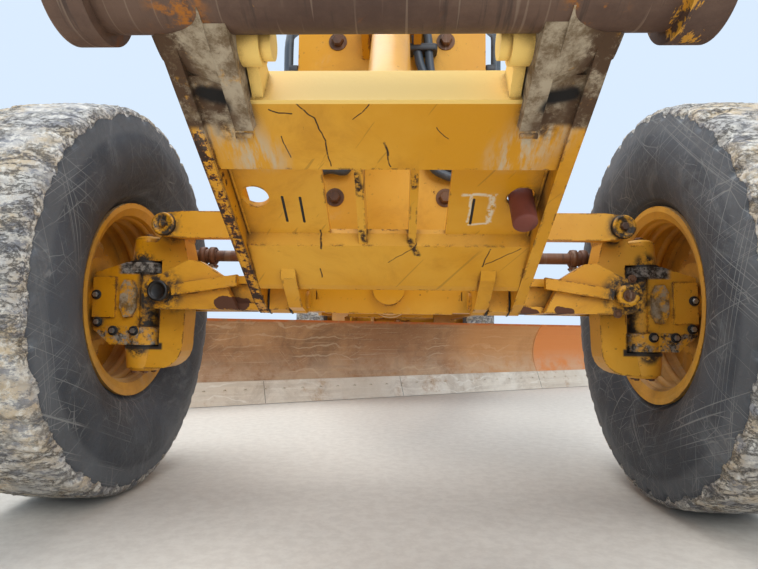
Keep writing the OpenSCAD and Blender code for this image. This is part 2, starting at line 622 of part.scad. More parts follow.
// The blade is set off to its left so that both of its ends reach equally far out at rest
left_end = -(blade_l - (face_y + blade_t + on_edge(2, edge_t)[0]) * tan(blade_angle)) / 2;
right_end = left_end + blade_l;
module cutting_edge() color(steel) at_circle() {
    side_plate([on_edge(edge_h, seat), on_edge(edge_h, edge_t), on_edge(2, edge_t), on_edge(2, seat)],
        left_end, right_end);
}
rail_half = 22;
shoe_y = face_y + blade_t + 44;
module blade_bracket() color(yellow) at_circle() difference() {
    union() {
        both_sides() {
            // Side plates beside the circle's arms
            side_plate([[tip_y + 50, tip_z - 50], [tip_y + 50, tip_z + 60], [shoe_y + 60, 620],
                [shoe_y + 2, 620], [shoe_y + 2, tip_z - 70]], arm_half - 60, arm_half - 32);
            // Shoes round the two rails
            for (z = rail_z) {
                plate([arm_half - 160, shoe_y + seat, z - 42], [arm_half - 32, shoe_y + 34, z + 42]);
                for (s = [-1, 1]) translate([0, 0, z + s * (rail_half + seat + 10)])
                    plate([arm_half - 160, shoe_y - 26, -10], [arm_half - 32, shoe_y + eps, 10]);
            }
        }
        bar_x(-arm_half - 34, arm_half + 34, tip_y, tip_z, 30);
        plate([-arm_half + 40, shoe_y + 4, 400], [arm_half - 40, shoe_y + 30, 470]);
        both_sides() plate([40, shoe_y + 4, 440], [58, shoe_y + 70, 660]);
        plate([-58, shoe_y + 4, 440], [58, shoe_y + 24, 590]);
    }
    bar_x(-70, 70, tip_eye.y, tip_eye.z, 16 + run);
}
tip_eye = [0, shoe_y + 44, 630];
tip_top = [0, 330, 640];
module tip_barrel() color(yellow) at_circle()
    cylinder_barrel(tip_top, tip_eye, 400, 38, 20, 90, 30, 84, 16);
module tip_rod() color(steel) at_circle() cylinder_rod(tip_top, tip_eye, 392, 20, 90, 26, 46, 16);

// Lift saddle on the gooseneck, with the lift cylinders and the centre shift cylinder

saddle_y = 2800;
yoke_z = 2020;
neck_top = neck_z + neck_h;
shift_top = [470, 3170, 1455];
module saddle() color(yellow) at_axle() difference() {
    union() {
        plate([-neck_x - 60, saddle_y - 130, neck_top + seat],
            [neck_x + 60, saddle_y + 130, neck_top + 40]);
        both_sides() plate([neck_x + seat, saddle_y - 130, neck_z + 40],
            [neck_x + 60, saddle_y + 130, neck_top + eps]);
        both_sides() front_plate([[neck_x - 40, neck_top + 10], [neck_x + 10, neck_top + 10],
            [neck_x + 50, neck_top - 120], [lift_x - 110, yoke_z - 70], [lift_x - 110, yoke_z + 70],
            [neck_x + 40, neck_top + 200], [neck_x - 40, neck_top + 200]], saddle_y - 60, saddle_y + 60);
        plate([-neck_x, saddle_y - 50, neck_top + 110], [neck_x, saddle_y + 50, neck_top + 190]);
        // Yoke rings round the lift cylinders
        both_sides() difference() {
            bar_z(yoke_z - 66, yoke_z + 66, lift_x, saddle_y, 132);
            bar_z(yoke_z - 80, yoke_z + 80, lift_x, saddle_y, 100);
        }
        // Bracket for the centre shift cylinder
        for (y = [shift_top.y - 74, shift_top.y + 50]) front_plate([[neck_x + seat, neck_z + 240],
            [shift_top.x + 46, shift_top.z + 30], [shift_top.x + 46, shift_top.z - 40],
            [shift_top.x - 40, shift_top.z - 40], [shift_top.x - 70, neck_z + 45],
            [neck_x + seat, neck_z + 45]], y, y + 24);
        plate([neck_x + seat, saddle_y + 100, neck_z + 60], [neck_x + 40, shift_top.y + 74, neck_z + 240]);
        bar_y(shift_top.y - 74, shift_top.y + 74, shift_top.x, shift_top.z, 16);
        translate(shift_top) sphere(r = shift_ball);
    }
    both_sides() bar_x(lift_x - 200, lift_x + 200, saddle_y, yoke_z, 18 + run);
}
lift_top = [lift_x, saddle_y, yoke_z];
lift_eye = [lift_x, lift_y, lift_z];
// Barrel hangs through its yoke on two trunnions
barrel_up = 300;
barrel_down = 520;
module lift_barrel() difference() {
    aim(lift_top, lift_eye, 0) difference() {
        union() {
            translate([0, 0, -barrel_up]) cylinder(h = barrel_up + barrel_down, r = 62);
            translate([0, 0, barrel_down - 40]) cylinder(h = 44, r = 70);
            translate([0, 0, -barrel_up - 14]) cylinder(h = 30, r = 68);
        }
        translate([0, 0, -barrel_up + 30]) cylinder(h = 1200, r = 32 + run);
    }
}
module trunnions(inner) difference() {
    bar_x(lift_x - 130, lift_x + 130, saddle_y, yoke_z, 18);
    bar_x(lift_x - inner, lift_x + inner, saddle_y, yoke_z, 30);
}
module lift_barrel_right() color(yellow) at_axle() union() {
    lift_barrel();
    trunnions(50);
}
module lift_barrel_left() color(yellow) at_axle() mirror([1, 0, 0]) union() {
    lift_barrel();
    trunnions(50);
}
module lift_rod() aim(lift_top, lift_eye, 0) union() {
    total = norm(lift_eye - lift_top);
    translate([0, 0, 130]) cylinder(h = total - 170, r = 32);
    translate([0, 0, total]) sphere(r = 46);
    translate([0, 0, total - 60]) cylinder(h = 40, r = 36);
}
module lift_rod_right() color(steel) at_axle() lift_rod();
module lift_rod_left() color(steel) at_axle() mirror([1, 0, 0]) lift_rod();
shift_ball = 30;
module shift_barrel() color(yellow) at_axle() difference() {
    cylinder_barrel(shift_top, shift_low, 600, 46, 26, 90, 44, 40, 26);
    translate(shift_top) sphere(r = shift_ball + run);
}
module shift_rod() color(steel) at_axle()
    cylinder_rod(shift_top, shift_low, 590, 26, 90, 34, 48, 20);

// Cab

cab_y0 = 3330;
cab_y1 = 4790;
cab_floor = deck_top + seat;
wall = 46;
cab_side = [[cab_y0 + 90, cab_floor], [cab_y1, cab_floor], [cab_y1, cab_top - 70], [cab_y1 - 60, cab_top],
    [cab_y0 + 120, cab_top], [cab_y0, cab_top - 60], [cab_y0 + 20, cab_floor + 700]];
cab_hole = [[cab_y0 + 140, cab_floor + 50], [cab_y1 - wall, cab_floor + 50], [cab_y1 - wall, cab_top - 100],
    [cab_y0 + 60, cab_top - 100], [cab_y0 + 68, cab_floor + 700]];
door_y0 = cab_y0 + 220;
door_y1 = cab_y1 - 420;
door_z0 = cab_floor + 60;
door_z1 = cab_top - 150;
module cab() color(yellow) at_axle() {
    cab_shell();
    both_sides() door_hinge_pins();
}
module cab_shell() difference() {
    side_plate(cab_side, -cab_x, cab_x);
    side_plate(cab_hole, -cab_x + wall, cab_x - wall);
    // Door openings
    both_sides() plate([cab_x - wall - 20, door_y0, door_z0], [cab_x + 20, door_y1, door_z1]);
    // Rear side windows
    both_sides()
        plate([cab_x - wall - 20, door_y1 + 70, cab_floor + 560], [cab_x + 20, cab_y1 - 90, door_z1]);
    // Front windscreen and lower front windows
    plate([-cab_x + 80, cab_y0 - 40, cab_floor + 760], [cab_x - 80, cab_y0 + 130, cab_top - 190]);
    both_sides() plate([180, cab_y0 - 40, cab_floor + 90], [cab_x - 80, cab_y0 + 150, cab_floor + 680]);
    // Rear window
    plate([-cab_x + 120, cab_y1 - 80, cab_floor + 620], [cab_x - 120, cab_y1 + 40, cab_top - 190]);
}
// Hinges stand proud of the cab's side, behind the door
door_hinge = [cab_x + 16, door_y1];
door_hinge_z = [door_z0 + 180, door_z1 - 260];
module door_hinge_pins() for (z = door_hinge_z) {
    bar_z(z, z + 90, door_hinge.x, door_hinge.y, 8);
    plate([cab_x - eps, door_hinge.y - 8, z - 20], [door_hinge.x + 10, door_hinge.y + 60, z]);
}
glass_t = 8;
module cab_glass() color(clear) at_axle() {
    both_sides() plate([cab_x - 30, door_y1 + 70.3, cab_floor + 560.3],
        [cab_x - 30 + glass_t, cab_y1 - 90.3, door_z1 - 0.3]);
    side_plate([[cab_y0 + 30, cab_floor + 760.3], [cab_y0 + 38, cab_floor + 760.3],
        [cab_y0 + 27, cab_top - 190.3], [cab_y0 + 19, cab_top - 190.3]], -cab_x + 80.3, cab_x - 80.3);
    both_sides() side_plate([[cab_y0 + 96, cab_floor + 90.3], [cab_y0 + 104, cab_floor + 90.3],
        [cab_y0 + 52, cab_floor + 679.7], [cab_y0 + 44, cab_floor + 679.7]], 180.3, cab_x - 80.3);
    plate([-cab_x + 120.3, cab_y1 - 30, cab_floor + 620.3],
        [cab_x - 120.3, cab_y1 - 30 + glass_t, cab_top - 190.3]);
}
module door() {
    difference() {
        plate([cab_x - wall + 4, door_y0 + 5, door_z0 + 5], [cab_x - 4, door_y1 - 5, door_z1 - 5]);
        plate([cab_x - wall - 9, door_y0 + 60, door_z0 + 130], [cab_x + 20, door_y1 - 60, door_z1 - 60]);
    }
    plate([cab_x - 30, door_y0 + 60.3, door_z0 + 130.3],
        [cab_x - 30 + glass_t, door_y1 - 60.3, door_z1 - 60.3]);
    // Hinge leaves round the cab's pins
    for (z = door_hinge_z) difference() {
        union() {
            bar_z(z + seat, z + 80, door_hinge.x, door_hinge.y, 14);
            plate([cab_x - 6, door_hinge.y - 60, z + seat], [cab_x + 12, door_hinge.y - 4, z + 80]);
        }
        bar_z(z - 10, z + 100, door_hinge.x, door_hinge.y, 8 + run);
    }
}
module door_left() color(yellow) at_axle() mirror([1, 0, 0]) door();
module door_right() color(yellow) at_axle() door();
seat_y = 4330;
module cab_fittings() color(grey) at_axle() {
    z0 = cab_floor + 50.3;
    bar_z(z0, z0 + 300, 0, seat_y, 90);
    plate([-250, seat_y - 250, z0 + 300], [250, seat_y + 230, z0 + 420]);
    side_plate([[seat_y + 180, z0 + 400], [seat_y + 290, z0 + 400], [seat_y + 340, z0 + 1050],
        [seat_y + 260, z0 + 1050]], -230, 230);
    both_sides() plate([270, seat_y - 200, z0 + 480], [360, seat_y + 180, z0 + 560]);
    both_sides() plate([280, seat_y + 20, z0], [350, seat_y + 160, z0 + 481]);
    // Steering column and wheel
    bar([0, cab_y0 + 420, z0 + 20], [0, cab_y0 + 577, z0 + 668], 50);
    bar_z(z0, z0 + 60, 0, cab_y0 + 420, 90);
    translate([0, cab_y0 + 575, z0 + 660]) rotate([-24, 0, 0]) difference() {
        cylinder(h = 26, r = 190);
        translate([0, 0, -5]) cylinder(h = 40, r = 160);
    }
    translate([0, cab_y0 + 575, z0 + 660]) rotate([-24, 0, 0]) plate([-170, -18, 4], [170, 18, 22]);
}

lamp_y = 600;
lamp_z = 1615;
module lamps() color(grey) at_axle() {
    // Lamp bar across the gooseneck with a lamp at each end
    plate([-neck_x, lamp_y - 30, lamp_z + seat], [neck_x, lamp_y + 30, lamp_z + 30]);
    plate([-400, lamp_y - 20, lamp_z + 20], [400, lamp_y + 20, lamp_z + 60]);
    both_sides() bar_z(lamp_z + 50, lamp_z + 120, 340, lamp_y, 16);
    both_sides() bar_y(lamp_y - 60, lamp_y + 40, 340, lamp_z + 170, 82);
}

// Mirrors on arms at the cab's front pillars
mirror_y = cab_y0 + 100;
mirror_z = cab_top - 260;
module mirrors() color(grey) at_axle() both_sides() {
    plate([cab_x + seat, mirror_y - 25, mirror_z - 30], [cab_x + 14, mirror_y + 25, mirror_z + 30]);
    bar([cab_x + 10, mirror_y, mirror_z], [cab_x + 190, mirror_y - 120, mirror_z], 14);
    bar_z(mirror_z - 360, mirror_z + 20, cab_x + 190, mirror_y - 120, 14);
    plate([cab_x + 110, mirror_y - 152, mirror_z - 360], [cab_x + 270, mirror_y - 130, mirror_z - 70]);
}

// Rear half: frame, hood, engine and tandems

rail_x = 210;
bumper_t = 60;
module rear_frame() color(yellow) at_axle() union() {
    both_sides() plate([rail_x, pivot_y + 240, 900], [rail_x + 60, tail_y - bumper_t, 1180]);
    plate([-rail_x - 60, pivot_y + 200, 900], [rail_x + 60, pivot_y + 290, 1580]);
    for (z = [hinge_levels[0] + hinge_t + seat, hinge_levels[1] - hinge_t - seat]) {
        bar_z(z, z + hinge_t, 0, pivot_y, hinge_boss);
        plate([-hinge_boss, pivot_y, z], [hinge_boss, pivot_y + 210, z + hinge_t]);
    }
    bar_z(hinge_levels[0] - 14, hinge_levels[1] + hinge_t + 14, 0, pivot_y, hinge_r);
    // Cross members
    for (y = [wheelbase - 420, wheelbase + 780])
        plate([-rail_x - 10, y - 60, 940], [rail_x + 10, y + 60, 1140]);
    // Lugs and pins for the articulation cylinders
    both_sides() for (z = [artic_z - 76, artic_z + 52])
        plate([rail_x + 50, artic_rear.y - 40, z], [artic_x + 40, artic_rear.y + 40, z + 24]);
    both_sides() bar_z(artic_z - 70, artic_z + 70, artic_x, artic_rear.y, 20);
    // Pads under the hood and the engine
    both_sides() for (y = [hood_y0 + 70, hood_y1 - 240])
        plate([rail_x + 10, y, 1170], [hood_x - 4, y + 80, hood_z0 - seat]);
}
// Bumper across the rails' ends, bored from top to bottom for the two tow pins
module bumper() color(yellow) at_axle() difference() {
    plate([-560, tail_y - bumper_t + seat, 760], [560, tail_y, 1260]);
    both_sides() bar_z(700, 1400, 300, tail_y - bumper_t / 2, 22);
}
// Axle housing under the rear frame, across the tandems
module axle_housing() color(yellow) at_axle() union() {
    bar_x(-tandem_in + seat, tandem_in - seat, wheelbase, tandem_z, 150);
    bar_x(-tandem_in - 40, tandem_in + 40, wheelbase, tandem_z, 80);
    bar_y(wheelbase - 200, wheelbase + 190, 0, tandem_z, 215);
    both_sides() plate([rail_x, wheelbase - 120, tandem_z + 60], [rail_x + 60, wheelbase + 120, 900 - seat]);
}
tandem_in = 560;
tandem_out = 790;
tandem_z = 700;
tandem_r = 235;
module tandem() {
    difference() {
        union() {
            front_y = wheelbase - tandem_base / 2;
            back_y = wheelbase + tandem_base / 2;
            side_plate([[front_y, tyre_r - tandem_r], [wheelbase, tyre_r - tandem_r - 30],
                [back_y, tyre_r - tandem_r], [back_y, tyre_r + tandem_r],
                [wheelbase, tyre_r + tandem_r + 30], [front_y, tyre_r + tandem_r]],
                tandem_in, tandem_out);
            for (y = [front_y, back_y]) {
                bar_x(tandem_in, tandem_out, y, tyre_r, tandem_r);
                bar_x(tandem_out - 10, rear_wheel_x + 60, y, tyre_r, spindle_r);
            }
        }
        bar_x(tandem_in - 10, tandem_in + 60, wheelbase, tandem_z, 80 + run);
    }
}
module tandem_left() color(yellow) at_axle() mirror([1, 0, 0]) tandem();
module tandem_right() color(yellow) at_axle() tandem();

hood_y0 = 5230;
hood_y1 = 7640;
hood_z0 = 1230;
hood_t = 40;
module hood() color(yellow) at_axle() difference() {
    union() {
        side_plate([[hood_y0, hood_z0], [hood_y1, hood_z0], [hood_y1, hood_top - 170],
            [hood_y1 - 60, hood_top - 130], [hood_y0 + 60, hood_top], [hood_y0, hood_top - 40]],
            -hood_x, hood_x);
        // Pads for the exhaust stack and the air cleaner
        both_sides() plate([stack_x - 110, stack_y - 110, hood_top - 60],
            [stack_x + 110, stack_y + 110, pad_z]);
    }
    side_plate([[hood_y0 + hood_t, hood_z0 - 10], [hood_y1 - hood_t, hood_z0 - 10],
        [hood_y1 - hood_t, hood_top - 200], [hood_y0 + hood_t, hood_top - 80]],
        -hood_x + hood_t, hood_x - hood_t);
    // Rear grille opening and side louvres
    plate([-hood_x + 90, hood_y1 - hood_t - 10, hood_z0 + 90], [hood_x - 90, hood_y1 + 10, hood_top - 260]);
    both_sides() for (i = [0 : 5]) plate([hood_x - hood_t - 10, hood_y1 - 900, hood_z0 + 150 + i * 90],
        [hood_x + 10, hood_y1 - 200, hood_z0 + 195 + i * 90]);
}
engine_y = [hood_y0 + 270, hood_y1 - 690];
module engine() color(grey) at_axle() plate([-300, engine_y[0], 1180 + seat], [300, engine_y[1], 1900]);

// Exhaust stack and air cleaner on the hood
stack_x = 230;
stack_y = hood_y0 + 560;
pad_z = hood_top - 10;
module exhaust() color(grey) at_axle() {
    z0 = pad_z + seat;
    bar_z(z0, z0 + 60, stack_x, stack_y, 92);
    bar_z(z0 + 50, z0 + 520, stack_x, stack_y, 76);
    bar([stack_x, stack_y, z0 + 500], [stack_x, stack_y, z0 + 760], 44);
    bar([stack_x, stack_y, z0 + 740], [stack_x, stack_y + 70, z0 + 860], 44);
    bar_z(z0, z0 + 330, -stack_x, stack_y, 60);
    bar_z(z0 + 320, z0 + 470, -stack_x, stack_y, 106);
}

artic_front = [artic_x, pivot_y - 290, artic_z];
artic_rear = [artic_x, pivot_y + 515, artic_z];
module artic_barrel() cylinder_barrel(artic_rear, artic_front, 400, 46, 26, 0, 36, 102, 20);
module artic_rod() cylinder_rod(artic_rear, artic_front, 545, 26, 0, 34, 48, 20);
module articulation_barrel_left() color(yellow) at_axle() mirror([1, 0, 0]) artic_barrel();
module articulation_barrel_right() color(yellow) at_axle() artic_barrel();
module articulation_rod_left() color(steel) at_axle() mirror([1, 0, 0]) artic_rod();
module articulation_rod_right() color(steel) at_axle() artic_rod();

front_frame();
steps();
saddle();
cab();
cab_glass();
cab_fittings();
lamps();
mirrors();
lift_frame();
lock_pin();
cross_tube();
hitch_barrel();
hitch_rod();
axle_beam();
lean_casting_left();
lean_casting_right();
knuckle_left();
knuckle_right();
lean_bar();
tie_rod();
tie_rod_end();
front_tyre(-1);  // tyre_front_left
front_rim(-1);  // rim_front_left
front_tyre(1);  // tyre_front_right
front_rim(1);  // rim_front_right
drawbar();
circle_ring();  // circle
blade_bracket();
moldboard();
cutting_edge();
tip_barrel();
tip_rod();
lift_barrel_left();
lift_rod_left();
lift_barrel_right();
lift_rod_right();
shift_barrel();
shift_rod();
door_left();
door_right();
rear_frame();
bumper();
axle_housing();
hood();
exhaust();
engine();
tandem_left();
tandem_right();
rear_tyre(-1, 1);  // tyre_1_left
rear_rim(-1, 1);  // rim_1_left
rear_tyre(-1, 2);  // tyre_2_left
rear_rim(-1, 2);  // rim_2_left
rear_tyre(1, 1);  // tyre_1_right
rear_rim(1, 1);  // rim_1_right
rear_tyre(1, 2);  // tyre_2_right
rear_rim(1, 2);  // rim_2_right
articulation_barrel_left();
articulation_rod_left();
articulation_barrel_right();
articulation_rod_right();
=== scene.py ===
# %% [markdown]
# # A motor grader, seen low from its nose
# The machine's solids are already packed as a frame. This script dresses them: it paints each
# solid, swaps the plain tyres for ones with a tread, and adds the bolts, hoses and wear that a
# grader collects. Each cell makes one thing, and most print what they made.

# %% Load the frame
import math

import bmesh
import bpy
import numpy as np
from mathutils import Matrix, Vector


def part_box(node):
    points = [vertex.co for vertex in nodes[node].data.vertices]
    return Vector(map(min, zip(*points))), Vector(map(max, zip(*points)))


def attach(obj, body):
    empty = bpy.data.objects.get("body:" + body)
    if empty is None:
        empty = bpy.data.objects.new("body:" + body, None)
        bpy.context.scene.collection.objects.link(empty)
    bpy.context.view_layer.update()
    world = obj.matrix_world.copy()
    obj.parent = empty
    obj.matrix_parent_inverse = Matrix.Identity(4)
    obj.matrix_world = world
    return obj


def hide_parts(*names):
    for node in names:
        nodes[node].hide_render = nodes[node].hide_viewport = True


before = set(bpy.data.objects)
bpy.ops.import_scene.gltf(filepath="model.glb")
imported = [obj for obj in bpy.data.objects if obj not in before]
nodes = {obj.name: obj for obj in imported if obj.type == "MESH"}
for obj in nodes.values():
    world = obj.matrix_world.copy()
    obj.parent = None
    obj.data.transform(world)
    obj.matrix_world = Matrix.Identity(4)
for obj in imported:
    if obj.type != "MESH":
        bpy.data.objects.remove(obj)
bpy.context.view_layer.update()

# %% [markdown]
# ## The camera
# The photo was taken from a crouch, two metres ahead of the front axle, with a wide lens that
# looks up a little. The lens and the place come from lining the tyres, the rims and the axle's
# pins up with the picture, so the render can be laid over it.

# %% Set up the camera
lens_mm, sensor_mm = 25.9, 36
camera_side, camera_ahead, camera_height = 0.024, 1.956, 0.587
pitch, yaw, roll = 0.079, 0.0331, 0.0131
tyre_low, tyre_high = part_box("tyre_front_right")
axle_y = (tyre_low.y + tyre_high.y) / 2
camera_place = Vector((camera_side, axle_y - camera_ahead, camera_height))
forward = Vector((-math.sin(yaw) * math.cos(pitch), math.cos(yaw) * math.cos(pitch),
                  math.sin(pitch)))
level = Vector((math.cos(yaw), math.sin(yaw), 0))
upright = level.cross(forward)
right = math.cos(roll) * level + math.sin(roll) * upright
up = math.cos(roll) * upright - math.sin(roll) * level
camera = bpy.data.objects.new("camera", bpy.data.cameras.new("camera"))
camera.data.sensor_width = sensor_mm
camera.data.lens = lens_mm
turned_axes = Matrix((right, up, -forward)).transposed().to_4x4()
camera.matrix_world = Matrix.Translation(camera_place) @ turned_axes
bpy.context.scene.collection.objects.link(camera)
bpy.context.scene.camera = camera
print("front axle at y =", round(axle_y, 3))

# %% [markdown]
# ## Places in millimetres
# The source measures the machine in millimetres from the front axle. One small function turns
# such a place into the frame's metres. The lift frame is drawn along its slope, so it gets a
# function of its own: u runs up the slope from the hinge and w is the depth square to it.

# %% Two ways to name a place
MM = 0.001


def at(x, y, z):
    """A place in millimetres, measured from the front axle, in the frame's metres."""
    return np.array([x * MM, y * MM + axle_y, z * MM])


slope_angle = math.radians(32)
hinge_place = at(0, -400, 665)


def on_slope(x, u, w):
    """The hinge, plus u up the slope (0, -cos, sin), plus w square to it (0, sin, cos)."""
    cos, sin = math.cos(slope_angle), math.sin(slope_angle)
    return hinge_place + np.array([x, w * sin - u * cos, u * sin + w * cos]) * MM


# %% [markdown]
# ## Sizes that several cells share
# A stain round a pin and the cap on that pin have to meet, so both take the pin's place from
# here. All are in millimetres, X from the middle, Y from the front axle and Z from the ground.
# The two sides and three directions have names as well.

# %% Shared sizes
axle_z = 680
kingpin_x = 885
lean_pin_x, lean_pin_z = 772, 700
lean_bar_y, lean_bar_z = -152, 930
tie_rod_y, tie_rod_z = 190, 865
door_pane_y, door_pane_z = (3610, 4310), (1830, 3170)
sides = ((-1, "left"), (1, "right"))
ahead, skyward, groundward = (0, -1, 0), (0, 0, 1), (0, 0, -1)

# %% [markdown]
# ## Reading colours off a picture
# Colours are easiest to note down as the 0 to 255 values of a picture. Blender's shaders want
# linear light instead, so each one goes through the usual sRGB curve.

# %% A colour helper


def rgb(red, green, blue):
    """Each channel c of 0 to 255 becomes ((c/255 + 0.055) / 1.055) ** 2.4, the sRGB curve."""
    share = (np.array([red, green, blue]) / 255 + 0.055) / 1.055
    return (*(share ** 2.4), 1.0)


# %% [markdown]
# ## Building materials as coats
# A worn surface needs dozens of shader nodes, and wiring them one by one hides the idea. A small
# class keeps the node tree of one finish. Its main call lays a coat: a mask says where, and the
# coat brings its own colour, its own roughness, and how far it stands proud or is sunk.

# %% A helper for finishes


class Finish:
    """One material in the making. A pattern reads Object coordinates unless it is told not to."""

    def __init__(self, name, colour, rough=0.5, metal=0.0):
        self.material = bpy.data.materials.new(name)
        self.material.use_nodes = True
        self.tree = self.material.node_tree
        self.shader = self.tree.nodes["Principled BSDF"]
        self.place = self.add("ShaderNodeTexCoord").outputs["Object"]
        self.colour, self.rough, self.metal, self.height = colour, rough, metal, 0.0

    def add(self, kind, inputs=None, **settings):
        """A new node with its settings made and its inputs set or linked."""
        made = self.tree.nodes.new(kind)
        for name, value in settings.items():
            setattr(made, name, value)
        for key, value in (inputs or {}).items():
            self.wire(value, made.inputs[key])
        return made

    def wire(self, value, socket):
        """Links a socket to an input, or writes a plain number or colour into it."""
        if isinstance(value, bpy.types.NodeSocket):
            self.tree.links.new(value, socket)
        else:
            socket.default_value = value

    def math(self, operation, a, b=0.0, clamp=False):
        return self.add("ShaderNodeMath", {0: a, 1: b}, operation=operation,
                        use_clamp=clamp).outputs[0]

    def times(self, *masks):
        """The product of several masks, so all of them have to agree."""
        product = masks[0]
        for mask in masks[1:]:
            product = self.math("MULTIPLY", product, mask)
        return product

    def most(self, *masks):
        """The largest of several masks, so any of them is enough."""
        largest = masks[0]
        for mask in masks[1:]:
            largest = self.math("MAXIMUM", largest, mask)
        return largest

    def vector(self, operation, a, b=None, out=0, **more):
        """Arithmetic on places. Some operations give a number instead, so out picks the output."""
        inputs = {0: a} if b is None else {0: a, 1: b}
        inputs.update(more)
        return self.add("ShaderNodeVectorMath", inputs, operation=operation).outputs[out]

    def stretched(self, x, y, z, turn=(0, 0, 0)):
        """Object coordinates turned, then scaled by x, y and z, so a pattern draws out."""
        turned = self.add("ShaderNodeMapping", {0: self.place, 2: turn})
        return self.add("ShaderNodeMapping", {0: turned.outputs[0], 3: (x, y, z)}).outputs[0]

    def local(self, origin, turn, flip=(1, 1, 1)):
        """Places measured from an origin along turned axes: the vector, and its three numbers."""
        moved = self.vector("SUBTRACT", self.place, Vector(origin))
        turned = self.add("ShaderNodeMapping", {0: moved, 2: turn}).outputs[0]
        flipped = self.vector("MULTIPLY", turned, flip)
        return flipped, self.split(flipped)

    def noise(self, scale, detail=4, rough=0.55, vector=None, twist=0.0):
        """A cloud of values round 0.5. A larger scale gives smaller clouds."""
        return self.add("ShaderNodeTexNoise", {
            "Vector": vector or self.place, "Scale": scale, "Detail": detail,
            "Roughness": rough, "Distortion": twist}).outputs[0]

    def rise(self, value, low, high):
        """0 below low, 1 above high, smooth between. With low above high it falls instead."""
        low_out, high_out = (0.0, 1.0) if high > low else (1.0, 0.0)
        return self.add("ShaderNodeMapRange", {
            0: value, 1: min(low, high), 2: max(low, high), 3: low_out, 4: high_out},
            interpolation_type="SMOOTHSTEP").outputs[0]

    def band(self, value, low, high, soft=0.004):
        """1 between low and high, 0 outside, with soft ends."""
        return self.times(self.rise(value, low - soft, low + soft),
                          self.rise(value, high + soft, high - soft))

    def blend(self, share, first, second):
        """Between two colours: the first where share is 0, the second where it is 1."""
        mixed = self.add("ShaderNodeMix", {0: share, 6: first, 7: second}, data_type="RGBA")
        return mixed.outputs[2]

    def mix(self, share, first, second):
        """The same between two numbers."""
        return self.add("ShaderNodeMix", {0: share, 2: first, 3: second},
                        data_type="FLOAT").outputs[0]

    def split(self, vector=None):
        """The three numbers of a place."""
        return self.add("ShaderNodeSeparateXYZ", {0: vector or self.place}).outputs

    def facing_up(self):
        """How far the surface looks up: 1 on top of a shelf, 0 on a wall or below."""
        normal = self.add("ShaderNodeNewGeometry").outputs["Normal"]
        return self.rise(self.split(normal)[2], 0.25, 0.9)

    def edges(self, radius):
        """1 on an outer or inner edge: a rounded copy of the normal leaves the true one there."""
        rounded = self.add("ShaderNodeBevel", {"Radius": radius}, samples=4).outputs[0]
        true = self.add("ShaderNodeNewGeometry").outputs["Normal"]
        return self.rise(self.vector("DOT_PRODUCT", rounded, true, out="Value"), 0.985, 0.86)

    def corners(self, reach):
        """1 in an inner corner, where walls close by shade each other, 0 in the open."""
        open_share = self.add("ShaderNodeAmbientOcclusion", {"Distance": reach}, samples=4)
        return self.rise(open_share.outputs["AO"], 0.80, 0.35)

    def stroke(self, plane, start, end, width, soft=0.3):
        """1 near a segment: the gap |p - a - t d| with t = (p - a) . d / d . d kept in 0 to 1."""
        a, d = Vector((*start, 0)), Vector((*end, 0)) - Vector((*start, 0))
        offset = self.vector("SUBTRACT", plane, a)
        dot = self.vector("DOT_PRODUCT", offset, d / d.length_squared, out="Value")
        along = self.vector("SCALE", d, Scale=self.math("ADD", dot, 0, clamp=True))
        gap = self.vector("DISTANCE", offset, along, out="Value")
        return self.rise(gap, width / 2, width / 2 * soft)

    def spot(self, plane, centre, width, soft=0.5):
        """1 near one point of the plane, given in millimetres."""
        centre = Vector((centre[0] * MM, centre[1] * MM, 0))
        gap = self.vector("DISTANCE", plane, centre, out="Value")
        return self.rise(gap, width / 2, width / 2 * soft)

    def coat(self, share, colour, rough=None, height=0.0, metal=None):
        """Lays one more coat over the rest: where share is 1 it hides what was there."""
        self.colour = self.blend(share, self.colour, colour)
        if rough is not None:
            self.rough = self.mix(share, self.rough, rough)
        if metal is not None:
            self.metal = self.mix(share, self.metal, metal)
        if height:
            self.relief(self.math("MULTIPLY", share, height))

    def relief(self, height):
        """Adds to the height that the bump will read."""
        self.height = self.math("ADD", self.height, height)

    def done(self, strength=0.3, distance=0.002):
        """Wires the coats to the shader, and their heights to a bump."""
        bump = self.add("ShaderNodeBump", {"Height": self.height, "Strength": strength,
                                           "Distance": distance})
        self.wire(bump.outputs[0], self.shader.inputs["Normal"])
        self.wire(self.colour, self.shader.inputs["Base Color"])
        self.wire(self.rough, self.shader.inputs["Roughness"])
        self.wire(self.metal, self.shader.inputs["Metallic"])
        return self.material


# %% [markdown]
# ## Yellow paint that has worked for years
# The paint is not one yellow. It has faded in patches and holds pale dust on whatever faces up.
# Its corners are darkened brown by painted shade mixed with real dirt. Along its edges it has
# chipped off down to brown steel, with a rusty rim round each chip. Each of those is a mask from
# noise, and the masks lie over each other like coats.

# %% The coats of the paint
paint_yellow = rgb(212, 146, 20)
paint_faded = rgb(224, 164, 52)
paint_deep = rgb(172, 110, 16)
dust_colour = rgb(198, 180, 152)
shade_and_soil_brown = rgb(104, 80, 54)
primer_rust = rgb(132, 74, 36)
bare_rust = rgb(58, 40, 30)


